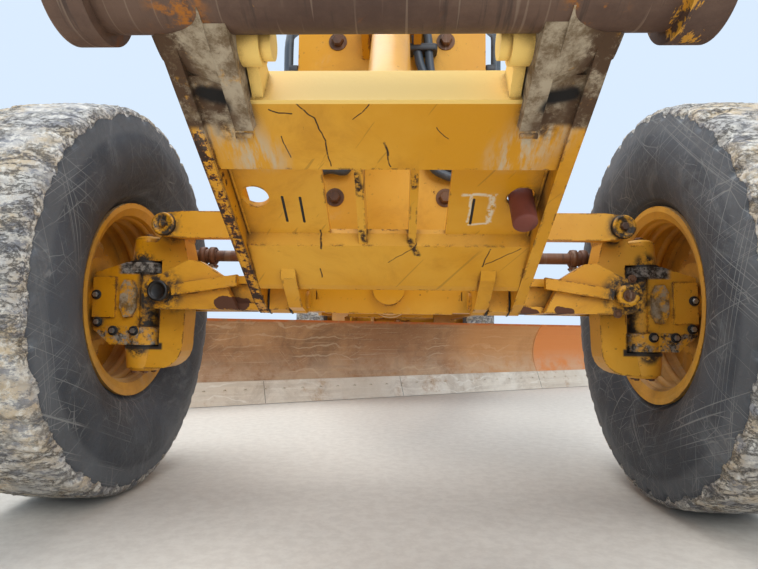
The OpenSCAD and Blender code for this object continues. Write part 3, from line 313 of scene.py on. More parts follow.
def paint_coats(f, wear=0.5, dust=0.5, grime_and_shade=0.3, bare=0.0):
    """Fading, stains, corner dirt with painted shade, dust, rimmed chips: each by its own mask."""
    f.shader.inputs["Specular IOR Level"].default_value = 0.32
    f.coat(f.rise(f.noise(1.7, 6, 0.6), 0.42, 0.68), paint_faded, 0.48)
    stains = f.rise(f.noise(5.0, 8, 0.7, twist=0.6), 0.5, 0.72)
    f.coat(f.times(stains, grime_and_shade), paint_deep)
    # Painted shade mixed with dirt: an occlusion mask darkens the inner corners brown.
    corner_shade_and_dirt = f.times(f.corners(0.07), f.rise(f.noise(14, 8, 0.75), 0.34, 0.6))
    f.coat(f.times(corner_shade_and_dirt, min(1.0, grime_and_shade * 1.7)), shade_and_soil_brown, 0.85)
    powder = f.math("ADD", f.times(f.facing_up(), f.noise(12, 6, 0.7)),
                    f.rise(f.noise(3.1, 9, 0.75, twist=1.2), 0.58, 0.8))
    f.coat(f.math("MULTIPLY", powder, dust, clamp=True), dust_colour, 0.9)
    worn = f.math("ADD", f.noise(26, 8, 0.75), f.times(f.edges(0.011), 0.08 + 0.15 * wear))
    worn = f.math("ADD", worn, bare)
    f.coat(f.rise(worn, 0.685, 0.70), primer_rust, 0.8, -0.4)
    f.coat(f.rise(worn, 0.705, 0.725), bare_rust, 0.75, -0.5)
    lines = f.rise(f.noise(1.0, 2, 0.5, f.stretched(1.5, 90, 90, (0.3, 0.5, 0.9))), 0.70, 0.72)
    f.coat(f.times(lines, 0.6 * wear), bare_rust)
    f.coat(f.times(f.rise(f.noise(75, 4, 0.6), 0.725, 0.74), wear), bare_rust)
    f.relief(f.times(f.noise(120, 3), 0.5))
    return f


frame_paint = paint_coats(Finish("frame_paint", paint_yellow, 0.36), 0.4, 0.3, 0.35).done(0.25)
rear_paint = paint_coats(Finish("rear_paint", paint_yellow, 0.32), 0.2, 0.35, 0.25).done(0.2)
print("paint finishes:", frame_paint.name, rear_paint.name)

# %% [markdown]
# ## The lift frame's own marks
# Every scratch on the lift frame is the mark of one rock or chain, so noise alone can't place
# them. Its marks are kept as a list of strokes in slope places, in metres. A mask can measure
# the distance to a stroke, which gives a clean line of any width at the right spot.

# %% Marks on the lift frame
scratches = [
    (0.0045, [(-0.160, 0.690), (-0.133, 0.658), (-0.116, 0.608), (-0.109, 0.544)]),
    (0.0045, [(-0.209, 0.678), (-0.194, 0.671), (-0.170, 0.671)]),
    (0.0030, [(-0.199, 0.620), (-0.187, 0.569)]),
    (0.0080, [(-0.002, 0.604), (0.004, 0.575)]), (0.0040, [(0.004, 0.575), (0.008, 0.544)]),
    (0.0050, [(0.234, 0.214), (0.247, 0.276)]), (0.0035, [(0.240, 0.222), (0.318, 0.277)]),
    (0.0035, [(0.001, 0.227), (0.071, 0.288)]), (0.0060, [(-0.159, 0.311), (-0.158, 0.274)]),
    (0.0050, [(-0.170, 0.204), (-0.169, 0.171)]), (0.0030, [(-0.030, 0.690), (-0.060, 0.655)]),
    (0.0030, [(0.096, 0.640), (0.118, 0.612)])]
bare_patches = [
    (0.030, [(-0.068, 0.500), (-0.056, 0.452)]), (0.024, [(0.054, 0.300), (0.072, 0.255)]),
    (0.020, [(-0.060, 0.330), (-0.055, 0.300)]), (0.018, [(0.060, 0.500), (0.060, 0.470)])]
pale_scrapes = [
    (0.020, [(0.233, 0.430), (0.236, 0.338)]), (0.012, [(0.168, 0.430), (0.240, 0.431)]),
    (0.010, [(0.192, 0.334), (0.236, 0.334)]), (0.010, [(0.186, 0.425), (0.188, 0.345)])]


def strokes(f, plane, lines, soft=0.3):
    """The masks of all segments of all lines, joined into one."""
    return f.most(*(f.stroke(plane, a, b, width, soft)
                    for width, line in lines for a, b in zip(line, line[1:])))


# %% [markdown]
# Places on the slope also say where the rails, the box across them and its end strip are, in
# metres; the end strip gets a painted highlight. A mask at a sharp edge goes from 0 to 1 over a
# hair on either side of it.

# %% The paint of the lift frame
rail_x, rail_wide = 0.333, 0.008
rail_w, rail_deep = -0.020, 0.025
box_x, box_top_u = 0.241, 0.690
hair = 0.0005


def make_lift_paint():
    """The shared coats, the marks, a painted highlight on the end strip, the smears, the grey
    cradles.
    """
    f = Finish("lift_frame_paint", paint_yellow, 0.34)
    slope, (x, u, w) = f.local(hinge_place, (slope_angle, 0, 0), (1, -1, 1))
    wide = f.math("ABSOLUTE", x)
    front_edge = f.rise(w, rail_w, rail_w - rail_deep)
    left_rail = f.times(f.rise(x, -rail_x, -rail_x - rail_wide), front_edge)
    right_rail = f.times(f.rise(x, rail_x, rail_x + rail_wide), front_edge)
    bare = f.math("ADD", f.times(left_rail, 0.185), f.times(right_rail, 0.03))
    paint_coats(f, 0.45, 0.08, 0.4, bare)
    flat = f.vector("MULTIPLY", slope, (1, 1, 0))
    waver = f.vector("SUBTRACT", f.add("ShaderNodeTexNoise", {
        "Vector": f.place, "Scale": 22.0}).outputs["Color"], (0.5, 0.5, 0.5))
    wavy = f.vector("ADD", flat, f.vector("MULTIPLY", waver, (0.016, 0.016, 0)))
    ragged = f.rise(f.noise(60, 6, 0.75), 0.42, 0.52)
    f.coat(f.times(strokes(f, wavy, pale_scrapes), ragged), rgb(224, 206, 176), 0.8)
    f.coat(f.times(strokes(f, wavy, bare_patches), ragged), bare_rust, 0.8, -0.5)
    broken = f.rise(f.noise(40, 6, 0.7), 0.34, 0.42)
    f.coat(f.times(strokes(f, wavy, scratches), broken), bare_rust, 0.8, -0.6)
    # Painted highlight: the box's end face, which looks up at the sky, is painted a pale bright
    # yellow.
    end_strip_highlight = f.times(f.rise(u, box_top_u - hair, box_top_u + hair),
                        f.rise(wide, box_x + hair, box_x - hair))
    f.coat(end_strip_highlight, rgb(255, 214, 120), 0.5)
    # Painted shade mixed with grime: a short occlusion mask darkens the inner corners brown.
    corner_shade_and_grime = f.times(f.corners(0.03), f.rise(f.noise(30, 7, 0.75), 0.30, 0.52))
    f.coat(f.times(corner_shade_and_grime, 0.75), rgb(92, 60, 26), 0.85)
    both = f.vector("ABSOLUTE", wavy)
    streaks = f.rise(f.noise(1.0, 7, 0.7, f.vector("MULTIPLY", slope, (34, 7, 20))), 0.42, 0.60)
    smear = f.stroke(both, (0.312, 0.670), (0.250, 0.560), 0.16, 0.05)
    f.coat(f.times(smear, streaks), rgb(196, 180, 152), 0.85)
    cradle = f.times(f.rise(u, 0.636, 0.652), f.rise(wide, box_x - hair, box_x + hair))
    grey = f.blend(f.rise(f.noise(24, 8, 0.75), 0.38, 0.62), rgb(176, 160, 136), rgb(112, 92, 68))
    brown = f.times(f.rise(wide, 0.300, 0.330), f.rise(f.noise(11, 8, 0.75), 0.40, 0.52))
    grey = f.blend(brown, grey, rgb(84, 62, 44))
    patchy = f.rise(f.noise(8, 6, 0.7), 0.30, 0.42)
    f.coat(f.times(cradle, patchy), grey, 0.9, 0.3)
    rubbed = f.times(f.stroke(both, (0.300, 0.700), (0.286, 0.640), 0.10, 0.2),
                     f.rise(f.noise(18, 7, 0.7), 0.40, 0.56))
    f.coat(rubbed, rgb(86, 64, 46), 0.85)
    f.coat(f.stroke(both, (0.322, 0.712), (0.284, 0.702), 0.046, 0.35), rgb(24, 20, 18), 0.7)
    return f.done(0.3)


lift_paint = make_lift_paint()
print("lift frame:", len(scratches) + len(bare_patches) + len(pale_scrapes), "marks")

# %% [markdown]
# ## Castings, axle and wheels
# The castings of the axle wear the same paint with more chips, and grease has been squeezed out
# round every pin. The knuckle is the worst: its upper lug is black with it, and a grey patch
# covers the front of the kingpin. The rims have kept a clean bright lip, but hold dust inside.

# %% Paint of the axle's parts
grease = rgb(52, 46, 40)
grease_pale = rgb(148, 142, 132)


def make_casting_paint():
    """Grease round the lean pins, the bar's pins and both ends of the kingpins."""
    f = paint_coats(Finish("casting_paint", paint_yellow, 0.36), 0.75, 0.2, 0.5)
    x, _, z = f.split()
    wide, drop = f.math("ABSOLUTE", x), f.rise(f.noise(30, 7, 0.75), 0.40, 0.56)
    front = f.add("ShaderNodeCombineXYZ", {0: wide, 1: z}).outputs[0]
    for centre, width in (((lean_pin_x, lean_pin_z), 0.17), ((lean_pin_x, lean_bar_z), 0.13),
                          ((kingpin_x, 512), 0.10), ((kingpin_x, 812), 0.11)):
        f.coat(f.times(f.spot(front, centre, width), drop), grease, 0.5)
    f.coat(f.times(f.band(z, 0.500, 0.524), f.band(wide, 0.80, 0.96)), grease, 0.45)
    return f.done(0.3)


def make_beam_paint():
    """Three bare patches under the beam's ends, and grease round its lean pins."""
    f = paint_coats(Finish("beam_paint", paint_yellow, 0.36), 0.6, 0.25, 0.5)
    x, _, z = f.split()
    front = f.add("ShaderNodeCombineXYZ", {0: x, 1: z}).outputs[0]
    patches = [(0.050, [(0.452, 0.650), (0.490, 0.640)]),
               (0.044, [(0.556, 0.654), (0.596, 0.646)]),
               (0.075, [(-0.570, 0.664), (-0.500, 0.662)])]
    ragged = f.math("ADD", strokes(f, front, patches, 0.1), f.times(f.noise(34, 7, 0.75), 1.1))
    f.coat(f.rise(ragged, 0.98, 1.04), rgb(92, 58, 40), 0.8, -0.4)
    ears = f.most(*(f.spot(front, (side * lean_pin_x, lean_pin_z), 0.19) for side, _ in sides))
    f.coat(f.times(ears, f.rise(f.noise(30, 7, 0.75), 0.42, 0.56)), grease, 0.5)
    return f.done(0.3)


def make_knuckle_paint():
    """A black upper lug, a grey worn cover over the kingpin, caked grease below and inside."""
    f = paint_coats(Finish("knuckle_paint", paint_yellow, 0.36), 0.6, 0.2, 0.55)
    x, y, z = f.split()
    wide = f.math("ABSOLUTE", x)
    speckle = f.rise(f.noise(48, 7, 0.75), 0.42, 0.60)
    caked = f.blend(speckle, grease, grease_pale)
    lug = f.times(f.rise(z, 0.762, 0.770), f.rise(wide, 0.972, 0.950))
    f.coat(lug, caked, 0.65, 0.5)
    cover = f.times(f.band(wide, 0.890, 0.953), f.band(z, 0.610, 0.746), f.rise(
        y, axle_y - 0.055, axle_y - 0.060))
    worn = f.blend(f.rise(f.noise(22, 8, 0.75), 0.40, 0.60), rgb(166, 152, 128), rgb(120, 92, 52))
    f.coat(f.times(cover, f.rise(f.noise(19, 7, 0.75), 0.40, 0.52)), worn, 0.6)
    low = f.times(f.rise(z, 0.584, 0.576), f.rise(f.noise(20, 7, 0.75), 0.46, 0.56))
    f.coat(low, caked, 0.6)
    inner = f.times(f.rise(wide, 0.905, 0.880), f.band(z, 0.580, 0.770))
    f.coat(f.times(inner, f.rise(f.noise(15, 6, 0.7), 0.40, 0.54)), grease, 0.5)
    return f.done(0.35)


casting_paint, beam_paint = make_casting_paint(), make_beam_paint()
knuckle_paint = make_knuckle_paint()
wheel_coats = paint_coats(Finish("wheel_paint", paint_yellow, 0.34), 0.35, 0.8, 0.45)
dull = wheel_coats.rise(wheel_coats.noise(2.8, 7, 0.7), 0.36, 0.62)
wheel_coats.coat(wheel_coats.times(dull, 0.55), rgb(150, 112, 64), 0.8)
wheel_paint = wheel_coats.done(0.2)
print("axle finishes:", casting_paint.name, beam_paint.name, knuckle_paint.name, wheel_paint.name)

# %% [markdown]
# ## Rusty steel
# The cross tube and the tie rod have lost their paint. Rust is brown with orange blooms and a
# few remnants of paint, and the tube is scored round and round, so its pattern is squeezed
# along X into thin rings. The loose pin in the right plate is redder, with pinkish worn patches.

# %% Rust


def rusty_steel(name, dark, mid, bloom, rings=60.0, remnants=0.0):
    """Worn patches, blooms and rings round X; remnants of paint gather at the far ends."""
    f = Finish(name, dark, 0.62, 0.1)
    f.coat(f.rise(f.noise(2.6, 8, 0.7), 0.4, 0.62), mid, 0.55)
    f.coat(f.rise(f.noise(6, 9, 0.75, twist=0.8), 0.56, 0.70), bloom, 0.8)
    scores = f.rise(f.noise(1.0, 3, 0.6, f.stretched(rings, 5, 5)), 0.54, 0.68)
    f.coat(f.times(scores, 0.6), rgb(50, 36, 30), height=-0.3)
    bright = f.rise(f.noise(1.0, 2, 0.5, f.stretched(rings * 1.7, 3, 3)), 0.63, 0.70)
    f.coat(f.times(bright, 0.5), rgb(146, 124, 106), 0.4, metal=0.4)
    if remnants:
        wide = f.math("ABSOLUTE", f.split()[0])
        ends = f.times(f.rise(wide, 0.40, 0.46), remnants)
        flakes = f.math("ADD", f.noise(1.0, 7, 0.7, f.stretched(16, 6, 6)), f.times(ends, 0.1))
        f.coat(f.rise(flakes, 0.68, 0.70), rgb(206, 146, 44), 0.5, 0.4)
        seats = f.times(f.band(wide, 0.27, 0.345, 0.02), f.rise(f.noise(17, 7, 0.7), 0.52, 0.62))
        f.coat(seats, rgb(176, 108, 34), 0.85)
    f.relief(f.noise(60, 8, 0.7))
    return f.done(0.5)


tube_rust = rusty_steel("tube_rust", rgb(80, 56, 44), rgb(104, 78, 62), rgb(146, 88, 44),
                        remnants=1.0)
rod_rust = rusty_steel("rod_rust", rgb(92, 60, 44), rgb(132, 92, 66), rgb(170, 104, 54), 25.0)
pin_rust = rusty_steel("pin_rust", rgb(118, 58, 44), rgb(148, 92, 84), rgb(150, 72, 44), 20.0)
bolt_rust = rusty_steel("bolt_rust", rgb(84, 54, 34), rgb(112, 74, 44), rgb(168, 112, 40), 30.0)
print("rust finishes are ready")

# %% [markdown]
# ## The blade
# Soil polishes a moldboard. The face is a warm brown with long curved scratches, paler towards
# the bottom where dust lies, and brighter orange past the weld of its extension. The cutting
# edge below it is pale bare steel with a skin of dry clay.

# %% Blade finishes
blade_turn = math.radians(30)
circle_place = at(0, 3220, 0)
seam_x = 1.490
face_top_z = 0.622


def scoured_steel(name, base, light, dark, scratch):
    """Scratches run along the blade, so the noise is drawn out in the blade's own direction."""
    f = Finish(name, base, 0.45, 0.2)
    blade, (x, _, z) = f.local(circle_place, (0, 0, -blade_turn))
    f.coat(f.rise(f.noise(1.4, 6, 0.65), 0.38, 0.66), light)
    streaks = f.noise(1.0, 5, 0.65, f.vector("MULTIPLY", blade, (1.2, 14, 18)))
    f.coat(f.times(f.rise(streaks, 0.5, 0.68), 0.3), dark, 0.4)
    f.coat(f.times(f.rise(f.noise(2.6, 8, 0.75, twist=0.5), 0.46, 0.68), 0.6), dark, 0.6)
    for tilt, amount in ((0.0, 0.30), (0.5, 0.22), (-0.9, 0.20)):
        turned = f.add("ShaderNodeMapping", {0: blade, 2: (0, tilt, 0)}).outputs[0]
        fine = f.noise(1.0, 2, 0.5, f.vector("MULTIPLY", turned, (2.5, 120, 120)))
        f.coat(f.times(f.rise(fine, 0.62, 0.70), amount), scratch)
    arcs = f.add("ShaderNodeTexWave", {
        "Vector": f.vector("MULTIPLY", blade, (1.1, 0, 1.6)), "Scale": 2.1, "Distortion": 9.0,
        "Detail": 3.0, "Detail Scale": 1.4}, wave_type="RINGS").outputs["Fac"]
    arcs = f.times(f.rise(arcs, 0.93, 0.99), f.rise(f.noise(2.2, 3), 0.46, 0.62))
    f.coat(f.times(arcs, 0.45), scratch)
    return f, x, z, streaks


def make_blade_brown():
    """Warmer to the right, orange past the seam and along the top, pale with dust below."""
    f, x, z, streaks = scoured_steel("blade_brown", rgb(158, 112, 74), rgb(184, 138, 94),
                                     rgb(116, 82, 56), rgb(212, 184, 150))
    f.coat(f.times(f.rise(x, 0.30, 0.75), 0.6), rgb(206, 142, 78))
    f.coat(f.times(f.rise(x, seam_x - 0.01, seam_x + 0.02), 0.85), rgb(222, 132, 62), 0.5)
    low = f.times(f.rise(z, 0.42, 0.17), f.rise(f.noise(5, 7, 0.7), 0.34, 0.6))
    f.coat(f.times(low, 0.6), rgb(206, 178, 146), 0.75)
    top = f.times(f.rise(z, face_top_z - 0.01, face_top_z + 0.01),
                  f.rise(f.noise(9, 6, 0.7), 0.36, 0.52))
    f.coat(top, rgb(196, 104, 40), 0.6)
    f.relief(f.math("ADD", f.noise(45, 6, 0.7), streaks))
    return f.done(0.2, 0.0015)


def make_edge_pale():
    """Pale steel with blotches of brown where the clay has stained it."""
    f = scoured_steel("edge_pale", rgb(212, 196, 174), rgb(228, 216, 198),
                      rgb(168, 148, 126), rgb(236, 228, 214))[0]
    f.coat(f.times(f.rise(f.noise(4, 8, 0.75), 0.54, 0.68), 0.6), rgb(176, 138, 100), 0.8)
    f.relief(f.noise(70, 7, 0.7))
    return f.done(0.25, 0.0015)


blade_brown, edge_pale = make_blade_brown(), make_edge_pale()
print("blade finishes:", blade_brown.name, edge_pale.name)

# %% [markdown]
# ## The plainer finishes
# Chromed rods, dark castings, black trim and rubber need less, but none of them is one flat
# colour: a working machine has dust in every corner.

# %% Trim, steel and rubber


def dusty_plain(name, colour, dusted, rough, metal=0.0, dust=0.4, grain=40.0):
    """One colour, with dust on what faces up and in patches, and a fine grain."""
    f = Finish(name, colour, rough, metal)
    powder = f.math("ADD", f.times(f.facing_up(), 0.6), f.rise(f.noise(7, 7, 0.7), 0.5, 0.75))
    f.coat(f.math("MULTIPLY", powder, dust, clamp=True), dusted, min(1.0, rough + 0.3))
    f.relief(f.noise(grain, 6, 0.65))
    return f.done(0.2, 0.001)


rod_chrome = dusty_plain("rod_chrome", rgb(190, 192, 194), rgb(170, 160, 148), 0.18, 0.9, 0.15)
fitting_steel = dusty_plain("fitting_steel", rgb(168, 170, 170), rgb(132, 122, 108),
                            0.3, 0.8, 0.4, 90.0)
black_trim = dusty_plain("black_trim", rgb(34, 34, 36), rgb(120, 112, 100), 0.55, 0.0, 0.35)
seal_black = dusty_plain("seal_black", rgb(22, 22, 23), rgb(96, 88, 78), 0.7, 0.0, 0.4, 60.0)
dark_casting = dusty_plain("dark_casting", rgb(62, 62, 64), rgb(120, 112, 100), 0.5, 0.3, 0.35)
hose_black = dusty_plain("hose_black", rgb(62, 70, 78), rgb(140, 140, 138), 0.45, 0.0, 0.5)
grease_black = dusty_plain("grease_black", rgb(26, 22, 19), rgb(78, 66, 54), 0.4, 0.0, 0.35, 90.0)
stack_steel = dusty_plain("stack_steel", rgb(74, 62, 56), rgb(140, 108, 80), 0.55, 0.5, 0.6, 25.0)
seat_cloth = dusty_plain("seat_cloth", rgb(58, 58, 60), rgb(110, 104, 96), 0.9, 0.0, 0.3, 320.0)
floor_mat = dusty_plain("floor_mat", rgb(40, 38, 36), rgb(132, 116, 94), 0.9, 0.0, 0.7, 160.0)
lens_red = dusty_plain("lens_red", rgb(150, 22, 18), rgb(150, 90, 70), 0.2, 0.0, 0.3, 140.0)
lens_clear = dusty_plain("lens_clear", rgb(214, 216, 214), rgb(186, 176, 158),
                         0.12, 0.2, 0.4, 140.0)
mirror_face = dusty_plain("mirror_face", rgb(206, 212, 216), rgb(180, 172, 158),
                          0.04, 1.0, 0.25, 8.0)

# %% [markdown]
# ## Glass
# The cab's panes are a weak grey green. Most light goes through, and a thin film of dust breaks
# up the reflections. The doors are one solid with their panes, so their finish finds the pane by
# its place and turns to glass there.

# %% Glass of the cab


def glass_coat(f, pane):
    """Where pane is 1 the shader lets light through, with a thin uneven film of dust."""
    film = f.times(f.rise(f.noise(2.4, 8, 0.75), 0.5, 0.8), 0.35)
    f.coat(pane, rgb(176, 196, 198), 0.04)
    f.coat(f.times(pane, film), dust_colour, 0.5)
    f.wire(f.times(pane, f.mix(film, 0.92, 0.4)), f.shader.inputs["Transmission Weight"])
    f.shader.inputs["IOR"].default_value = 1.45


def make_door_paint(name):
    """Paint outside the opening of the pane, and glass inside it, a millimetre from its edge."""
    f = paint_coats(Finish(name, paint_yellow, 0.32), 0.2, 0.35, 0.25)
    x, y, z = f.split()
    inset = 0.001
    y_low, y_high = (axle_y + edge * MM for edge in door_pane_y)
    z_low, z_high = (edge * MM for edge in door_pane_z)
    pane = f.times(f.band(y, y_low + inset, y_high - inset, hair),
                   f.band(z, z_low + inset, z_high - inset, hair),
                   f.rise(f.math("ABSOLUTE", x), 0.7440, 0.7420))
    glass_coat(f, pane)
    return f.done(0.1)


def make_pane_glass():
    """The glass of the panes that are solids of their own."""
    f = Finish("cab_pane", rgb(176, 196, 198), 0.04)
    glass_coat(f, 1.0)
    return f.done(0.02)


cab_pane = make_pane_glass()
print("glass and plain finishes are ready")

# %% [markdown]
# ## Painting the solids
# A solid takes its finish by having its material slots filled. The front end is close to the
# camera and hard worn, and the rear has kept more of its paint.

# %% Give every solid its finish
finish_of = {
    "cross_tube": tube_rust, "tie_rod": rod_rust, "tie_rod_end": rod_rust, "lock_pin": pin_rust,
    "lift_frame": lift_paint, "axle_beam": beam_paint, "lean_bar": casting_paint,
    "moldboard": blade_brown, "cutting_edge": edge_pale, "cab_glass": cab_pane,
    "cab_fittings": black_trim, "lamps": black_trim, "mirrors": black_trim, "steps": black_trim,
    "exhaust": stack_steel, "engine": dark_casting,
    "door_left": make_door_paint("door_paint_left"),
    "door_right": make_door_paint("door_paint_right"),
}
rear_solids = ("cab", "hood", "rear_frame", "axle_housing", "tandem_left", "tandem_right",
               "saddle", "bumper")
for name, solid in nodes.items():
    chosen = frame_paint
    if name.startswith("rim_"):
        chosen = wheel_paint
    elif name.startswith("lean_casting"):
        chosen = casting_paint
    elif name.startswith("knuckle"):
        chosen = knuckle_paint
    elif name in rear_solids:
        chosen = rear_paint
    elif "_rod" in name:
        chosen = rod_chrome
    chosen = finish_of.get(name, chosen)
    solid.data.materials.clear()
    solid.data.materials.append(chosen)
print("painted", len(nodes), "solids")

# %% [markdown]
# ## Surfaces as grids
# A new piece is a surface worked out with numpy: two parameters span a grid, a formula gives
# each grid point its place, and the grid's cells become faces. The same few helpers turn any
# such grid into a mesh on its body.

# %% Helpers that make meshes


def grid_faces(rows, columns, wrap_rows=False, wrap_columns=False):
    """Each cell (i, j) of the grid joins points (i, j), (i+1, j), (i+1, j+1) and (i, j+1)."""
    i, j = np.meshgrid(np.arange(rows if wrap_rows else rows - 1),
                       np.arange(columns if wrap_columns else columns - 1), indexing="ij")
    i2, j2 = (i + 1) % rows, (j + 1) % columns
    return np.stack([i * columns + j, i2 * columns + j, i2 * columns + j2, i * columns + j2],
                    -1).reshape(-1, 4)


def make_piece(name, shapes, material, body, smooth=True):
    """Joins (points, faces) pairs into one mesh whose object sits at the origin."""
    points, faces, start = [], [], 0
    for shape_points, shape_faces in shapes:
        points.append(np.asarray(shape_points, float).reshape(-1, 3))
        faces.extend((np.asarray(face) + start).tolist() for face in shape_faces)
        start += len(points[-1])
    mesh = bpy.data.meshes.new(name)
    mesh.from_pydata(np.concatenate(points).tolist(), [], faces)
    mesh.polygons.foreach_set("use_smooth", [smooth] * len(mesh.polygons))
    mesh.materials.append(material)
    sides = bmesh.new()
    sides.from_mesh(mesh)
    bmesh.ops.recalc_face_normals(sides, faces=sides.faces)
    sides.to_mesh(mesh)
    sides.free()
    piece = bpy.data.objects.new(name, mesh)
    bpy.context.scene.collection.objects.link(piece)
    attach(piece, body)
    return piece


def mirrored(shapes):
    """The same shapes across the centre line: X changes its sign and the faces turn round."""
    return [(np.asarray(points, float) * [-1, 1, 1], [list(face)[::-1] for face in faces])
            for points, faces in shapes]


def side_axes(direction):
    """Two unit vectors square to a direction and to each other."""
    along = np.asarray(direction, float) / np.linalg.norm(direction)
    helper = np.array([0.0, 0.0, 1.0]) if abs(along[2]) < 0.9 else np.array([1.0, 0.0, 0.0])
    across = np.cross(helper, along)
    across /= np.linalg.norm(across)
    return along, across, np.cross(along, across)


def turned(profile, place, direction, count=24):
    """A profile of (radius, height) turned about a line: p + h d + r (cos a u + sin a v)."""
    along, across, over = side_axes(direction)
    profile = np.asarray(profile, float)
    angle = np.arange(count) / count * 2 * np.pi
    ring = np.cos(angle)[:, None] * across + np.sin(angle)[:, None] * over
    points = (np.asarray(place, float) + profile[:, None, 1:] * along
              + profile[:, None, :1] * ring[None])
    faces = grid_faces(len(profile), count, wrap_columns=True)[:, ::-1]
    return points.reshape(-1, 3), list(faces)


def bolt(place, direction, across=0.036, head=0.016, washer=True):
    """A hexagonal head is a turned profile with six sides; its washer is one with twenty."""
    half = across / 1.732
    hexagon = turned([(0.0, 0.0), (half, 0.0), (half, head * 0.75), (half * 0.82, head),
                      (0.0, head)], place, direction, 6)
    if not washer:
        return [hexagon]
    disc = turned([(0.0, -0.001), (half * 1.5, -0.001), (half * 1.5, 0.003), (0.0, 0.0035)],
                  place, direction, 20)
    return [hexagon, disc]


def bolt_circle(centre, direction, radius, count, start, across, head):
    """Bare bolts on a circle: number k sits at the angle start + k / count of a turn."""
    _, first, second = side_axes(direction)
    heads = []
    for k in range(count):
        angle = start + k / count * 2 * math.pi
        place = centre + radius * (math.cos(angle) * first + math.sin(angle) * second)
        heads += bolt(place, direction, across, head, False)
    return heads


def slab(centre, size, corner=0.01, turn=None, edge=0.002):
    """Four rounded rectangles on top of each other, the first and last drawn in by the edge."""
    half = np.asarray(size, float) / 2
    per_ring = 16
    corner = min(corner, half[0] * 0.98, half[1] * 0.98)
    edge = min(edge, corner * 0.8, half[2] * 0.8)
    angle = (np.arange(4)[:, None] * np.pi / 2 + np.linspace(0, np.pi / 2, per_ring // 4)).ravel()
    sign = np.repeat([[1, 1], [-1, 1], [-1, -1], [1, -1]], 4, 0)
    round_way = np.stack([np.cos(angle), np.sin(angle)], 1)
    rings = [(edge, -half[2]), (0, edge - half[2]), (0, half[2] - edge), (edge, half[2])]
    points = np.concatenate([np.c_[sign * (half[:2] - corner) + (corner - inset) * round_way,
                                   np.full(per_ring, height)] for inset, height in rings])
    if turn is not None:
        points = points @ np.asarray(turn, float).T
    faces = list(grid_faces(4, per_ring, wrap_columns=True)[:, ::-1])
    faces += [list(range(per_ring))[::-1], list(range(3 * per_ring, 4 * per_ring))]
    return points + np.asarray(centre, float), faces


def facing(direction):
    """A turn that takes a slab's third side to a direction, its first one kept level."""
    along, across, over = side_axes(direction)
    return np.stack([across, over, along], 1)


def gasket(corners, width, thick):
    """A flat frame round four corners: each gives an inner and an outer point, low and high."""
    corners = np.asarray(corners, float)
    ahead, back = np.roll(corners, -1, 0) - corners, np.roll(corners, 1, 0) - corners
    normal = np.cross(ahead[0], back[0])
    normal *= thick / 2 / np.linalg.norm(normal)
    ahead /= np.linalg.norm(ahead, axis=1)[:, None]
    back /= np.linalg.norm(back, axis=1)[:, None]
    outer, inner = corners - (ahead + back) * width, corners + (ahead + back) * 0.004
    ring = np.stack([inner - normal, outer - normal, outer + normal, inner + normal], 1)
    return ring.reshape(-1, 3), list(grid_faces(4, 4, True, True))


def smooth_line(path, samples):
    """Catmull-Rom: between two points the line is a cubic that looks one point each way."""
    path = np.asarray(path, float)
    steps = np.linspace(0, len(path) - 1.001, samples)
    base = steps.astype(int)
    t = (steps - base)[:, None]
    padded = np.vstack([2 * path[0] - path[1], path, 2 * path[-1] - path[-2]])
    a, b, c, d = (padded[base + k] for k in range(4))
    return 0.5 * (2 * b + (c - a) * t + (2 * a - 5 * b + 4 * c - d) * t ** 2
                  + (3 * b - a - 3 * c + d) * t ** 3)


def hose(path, radius, sides=12, samples=48, ripple=0.0):
    """A tube round a smooth path. Each ring stands square to the path's own direction there."""
    line = smooth_line(path, samples)
    along = np.gradient(line, axis=0)
    along /= np.linalg.norm(along, axis=1)[:, None]
    across = np.cross(along, [0.31, 0.17, 0.93])
    across /= np.linalg.norm(across, axis=1)[:, None]
    over = np.cross(along, across)
    angle = np.arange(sides) / sides * 2 * np.pi
    swell = radius * (1 + ripple * np.sin(np.arange(samples) * 2.1))[:, None, None]
    points = line[:, None] + swell * (np.cos(angle)[None, :, None] * across[:, None]
                                      + np.sin(angle)[None, :, None] * over[:, None])
    faces = list(grid_faces(samples, sides, wrap_columns=True)[:, ::-1])
    faces += [list(range(sides))[::-1], [(samples - 1) * sides + k for k in range(sides)]]
    return points.reshape(-1, 3), faces


def bead(path, radius=0.0045):
    """A weld: a thin hose with a ripple, three rings to every ripple."""
    path = np.asarray(path, float)
    length = np.linalg.norm(np.diff(path, axis=0), axis=1).sum()
    return hose(path, radius, 8, max(8, int(length / 0.006)), 0.14)


print("mesh helpers are ready")

# %% [markdown]
# ## Tyres
# A grader's tyre has deep blocks at its shoulders, and here dry clay is packed between and over
# them. The surface has two parameters, the way along the section and the angle round the wheel.
# The section is a smooth curve, the blocks are cut out of it by a formula, and lumps are added
# where the clay sits. Two numbers are kept at each point, how much clay it carries and how far
# out it lies, and the material reads both.

# %% Shape of a tyre
section = np.array([(0.309, 0.108), (0.349, 0.116), (0.366, 0.140), (0.400, 0.164), (0.450, 0.184),
                    (0.503, 0.192), (0.555, 0.188), (0.600, 0.177), (0.632, 0.171), (0.662, 0.166),
                    (0.674, 0.150), (0.678, 0.110), (0.680, 0.055), (0.680, 0.0)])
tyre_r, bead_r = 0.680, 0.309
block_count = 34
lining_rows = 12


def clay_lumps(points, size, seed):
    """Sum of sines in turned directions, at sizes that halve: cheap noise on whole arrays."""
    random = np.random.default_rng(seed)
    total = np.zeros(points.shape[:-1])
    for octave in range(5):
        for _ in range(5):
            direction = random.normal(size=3)
            direction *= 2 * np.pi / size * 1.9 ** octave / np.linalg.norm(direction)
            total += np.sin(points @ direction + random.uniform(0, 6.28)) / 1.55 ** octave
    return total / 5


